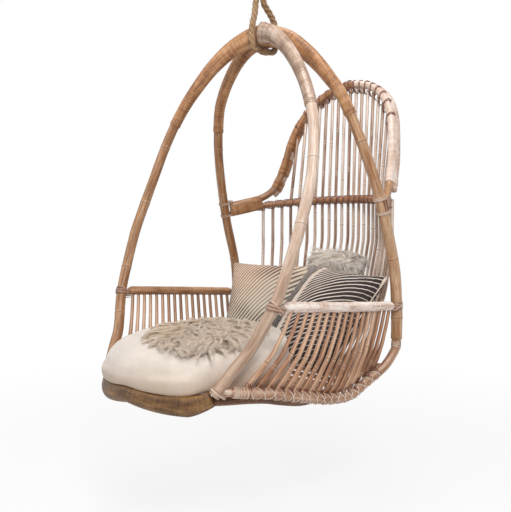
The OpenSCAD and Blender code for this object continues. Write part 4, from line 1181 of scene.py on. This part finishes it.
u = np.linspace(-1, 1, 34)
a, b = np.meshgrid(u, u, indexing="ij")
x, y = a * np.sqrt(1 - b * b / 2), b * np.sqrt(1 - a * a / 2)
S = np.hypot(x, y)
x, y = throw_at(np.arctan2(y, x), S * 0.97)
under = cushion_top(x, y) + 2.5
waves = 3 + 3 * np.sin(x / 21 + y / 40) * np.sin(y / 19 - x / 60)
top = np.stack([x, y, under + 1 + (5 + waves) * np.sqrt(np.clip(1 - S**4, 0, 1))], -1)
seat_hide = hide_sheet("fur_throw_seat", top, np.stack([x, y, under], -1), "fur_ground")

LOCKS, RIM = 820, 0.84  # locks past the share RIM hang out over the throw's edge
a, q = rng.uniform(0, 2 * np.pi, LOCKS), np.sqrt(rng.uniform(0, 1, LOCKS))
x, y = throw_at(a, q)
roots = np.stack([x, y, cushion_top(x, y) + 6], -1)
slope = lambda dx, dy: (cushion_top(x + dx, y + dy) - cushion_top(x - dx, y - dy)) / 4
normals = unit(np.stack([-slope(2, 0), -slope(0, 2), np.ones(LOCKS)], -1))
across = ((x - THROW_X) + (y - THROW_Y)) / 206
swirl = -0.8 + 1.1 * across + 0.45 * np.sin(x / 31 + y / 53) + rng.normal(0, 0.28, LOCKS)
outward = np.arctan2(y - THROW_Y, x - THROW_X) + rng.choice([-1.0, 0.9], LOCKS) + rng.normal(0, 0.35, LOCKS)
swirl = np.where(q > RIM, outward, swirl)
leans = np.stack([np.cos(swirl), np.sin(swirl), np.zeros(LOCKS)], -1)
leans = unit(leans - normals * (leans * normals).sum(1, keepdims=True))
shorter = np.where(q > RIM, 0.75, 1.1)
seat_hair = fur("fur_throw_seat_hair", roots, normals, leans, "fur", 21, share=shorter)

# the throw behind the pillows, folded over
spin = np.array((turn("Z", -14) @ turn("X", -16.9)).to_3x3())
placed = lambda p: p @ spin.T + np.array([68.1, 331.9, -126])
line = spline(np.array([[21, -54], [24, -28], [20, 0], [0, 14], [-20, 0], [-24, -28], [-21, -54]], float), 5)
inward = unit(np.stack([-np.gradient(line[:, 1]), np.gradient(line[:, 0])], -1))
span_y = np.sqrt(1 - (u * 0.93) ** 2)


def folded(shift):
    """The fold's line at each width u, moved inward by shift. It grows flatter towards both sides."""
    p = line + inward * shift
    x = np.repeat((u * 128 - 13)[:, None], len(p), 1)
    y = span_y[:, None] * p[None, :, 0] * (1 + 0.05 * np.sin(u * 9))[:, None]
    z = p[None, :, 1] * (0.35 + 0.65 * span_y[:, None]) + 4 * np.sin(u * 7)[:, None]
    return np.stack([x, y, z], -1)


# this throw's hide and hair use the lighter copies of the fur's materials: painted light, as it lies in shade
back_hide = hide_sheet("fur_throw_back", placed(folded(0.0)), placed(folded(5.0)), "fur_ground_painted_lit")
LOCKS = 520
i, j = rng.integers(1, 33, LOCKS), rng.integers(6, 25, LOCKS)
p = folded(3.0)
normal = unit(np.cross(np.gradient(p, axis=0), np.gradient(p, axis=1)))
away = np.stack([p[..., 0] * 0.2, p[..., 1] * 4, p[..., 2] + 10], -1)
normal *= np.sign((normal * away).sum(-1, keepdims=True))
roots, normal = p[i, j] + rng.normal(0, 2.0, (LOCKS, 3)), normal[i, j]
lean_x = (i / 33 - 0.5) * 2.2 + rng.normal(0, 0.35, LOCKS)
lean = unit(np.stack([lean_x, rng.normal(-0.5, 0.3, LOCKS), rng.normal(-0.15, 0.4, LOCKS)], -1))
lean = unit(lean - normal * (lean * normal).sum(1, keepdims=True))
back_hair = fur("fur_throw_back_hair", placed(roots), normal @ spin.T, lean @ spin.T, "fur_painted_lit", 22,
                per=21, long=(36, 64), thick=0.55, spread=8.0, draw=0.45)

# ---- hardware: the CAD pieces with their own finishes, and the screws' heads
for name, look in (("ceiling_plate", "black"), ("swivel_eye", "steel"), ("hanging_ring", "steel")):
    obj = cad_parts[name]
    obj.data.materials.clear()
    obj.data.materials.append(M["hardware_" + look])
    edge = obj.modifiers.new("edge", "BEVEL")
    edge.width, edge.segments, edge.limit_method, edge.angle_limit = 0.0006, 2, "ANGLE", math.radians(50)
profile = [
    (0.1, -7.2), (1.9, -7.2), (2.1, -9.0), (3.6, -9.0), (5.2, -8.2),
    (6.0, -6.8), (6.1, -6.0), (3.0, -5.8), (3.0, -0.5), (0.1, -0.5),
]
round_turns = np.linspace(0, 2 * np.pi, 24, endpoint=False)
head = np.array([[[r * math.cos(b), r * math.sin(b), z] for b in round_turns] for r, z in profile])
screws = Piece()
for a in np.radians([45, 135, 225, 315]):
    c = np.array([34 * math.cos(a), 34 * math.sin(a), 0])
    screws.rings(c + head, np.zeros(len(profile)), 0.5, np.full(len(profile), 0.06))
in_row = lambda p: p / 1000
screws.make("ceiling_screw_heads", "hardware_steel", "hardware_steel", body="ceiling", place=in_row)

# ---- stage: pale floor, white surroundings, soft lamps
floor = plain("floor", [[-40, -40, 0], [40, -40, 0], [40, 40, 0], [-40, 40, 0]], [[0, 1, 2, 3]])
floor.location = (0, 0, -1.79)
ground = Shade("floor", 0.9)
ground.done(ground.blend(ground.noise(ground.place(), 3.0), (0.84, 0.84, 0.84), (0.88, 0.88, 0.88)))
from_middle = ground.add("VectorMath", ground.place(), out=1, operation="LENGTH")
white = ground.seen() * ground.fit(from_middle, 0.9, 2.6, 0.86, 1.0)
both_looks = ground.add("MixShader", white, Value(ground, ground.bsdf.outputs[0]), ground.add("Emission"))
ground.put(ground.nodes["Material Output"].inputs[0], both_looks)
floor.data.materials.append(ground.mat)

scene.world = bpy.data.worlds.new("world")
scene.world.use_nodes = True
sky = Tree(scene.world.node_tree)
background = sky.nodes["Background"]
background.inputs[0].default_value = (1, 1, 1, 1)
sky.put(background.inputs[1], sky.add("MapRange", sky.seen(), 0.0, 1.0, 0.27, 1.0))

AIM = Vector((0, 0, -0.95))
for name, place, size, power in (
    ("key", (2.2, -1.5, 1.0), 0.8, 62), ("top", (0.2, -0.5, 2.2), 1.2, 52), ("fill", (-1.6, -2.6, 0.2), 1.4, 16)
):
    lamp = linked(name, bpy.data.lights.new(name, "AREA"))
    lamp.data.size, lamp.data.energy = size, power
    lamp.location = place
    lamp.rotation_euler = (AIM - Vector(place)).to_track_quat("-Z", "Y").to_euler()

scene.view_settings.view_transform = "Standard"
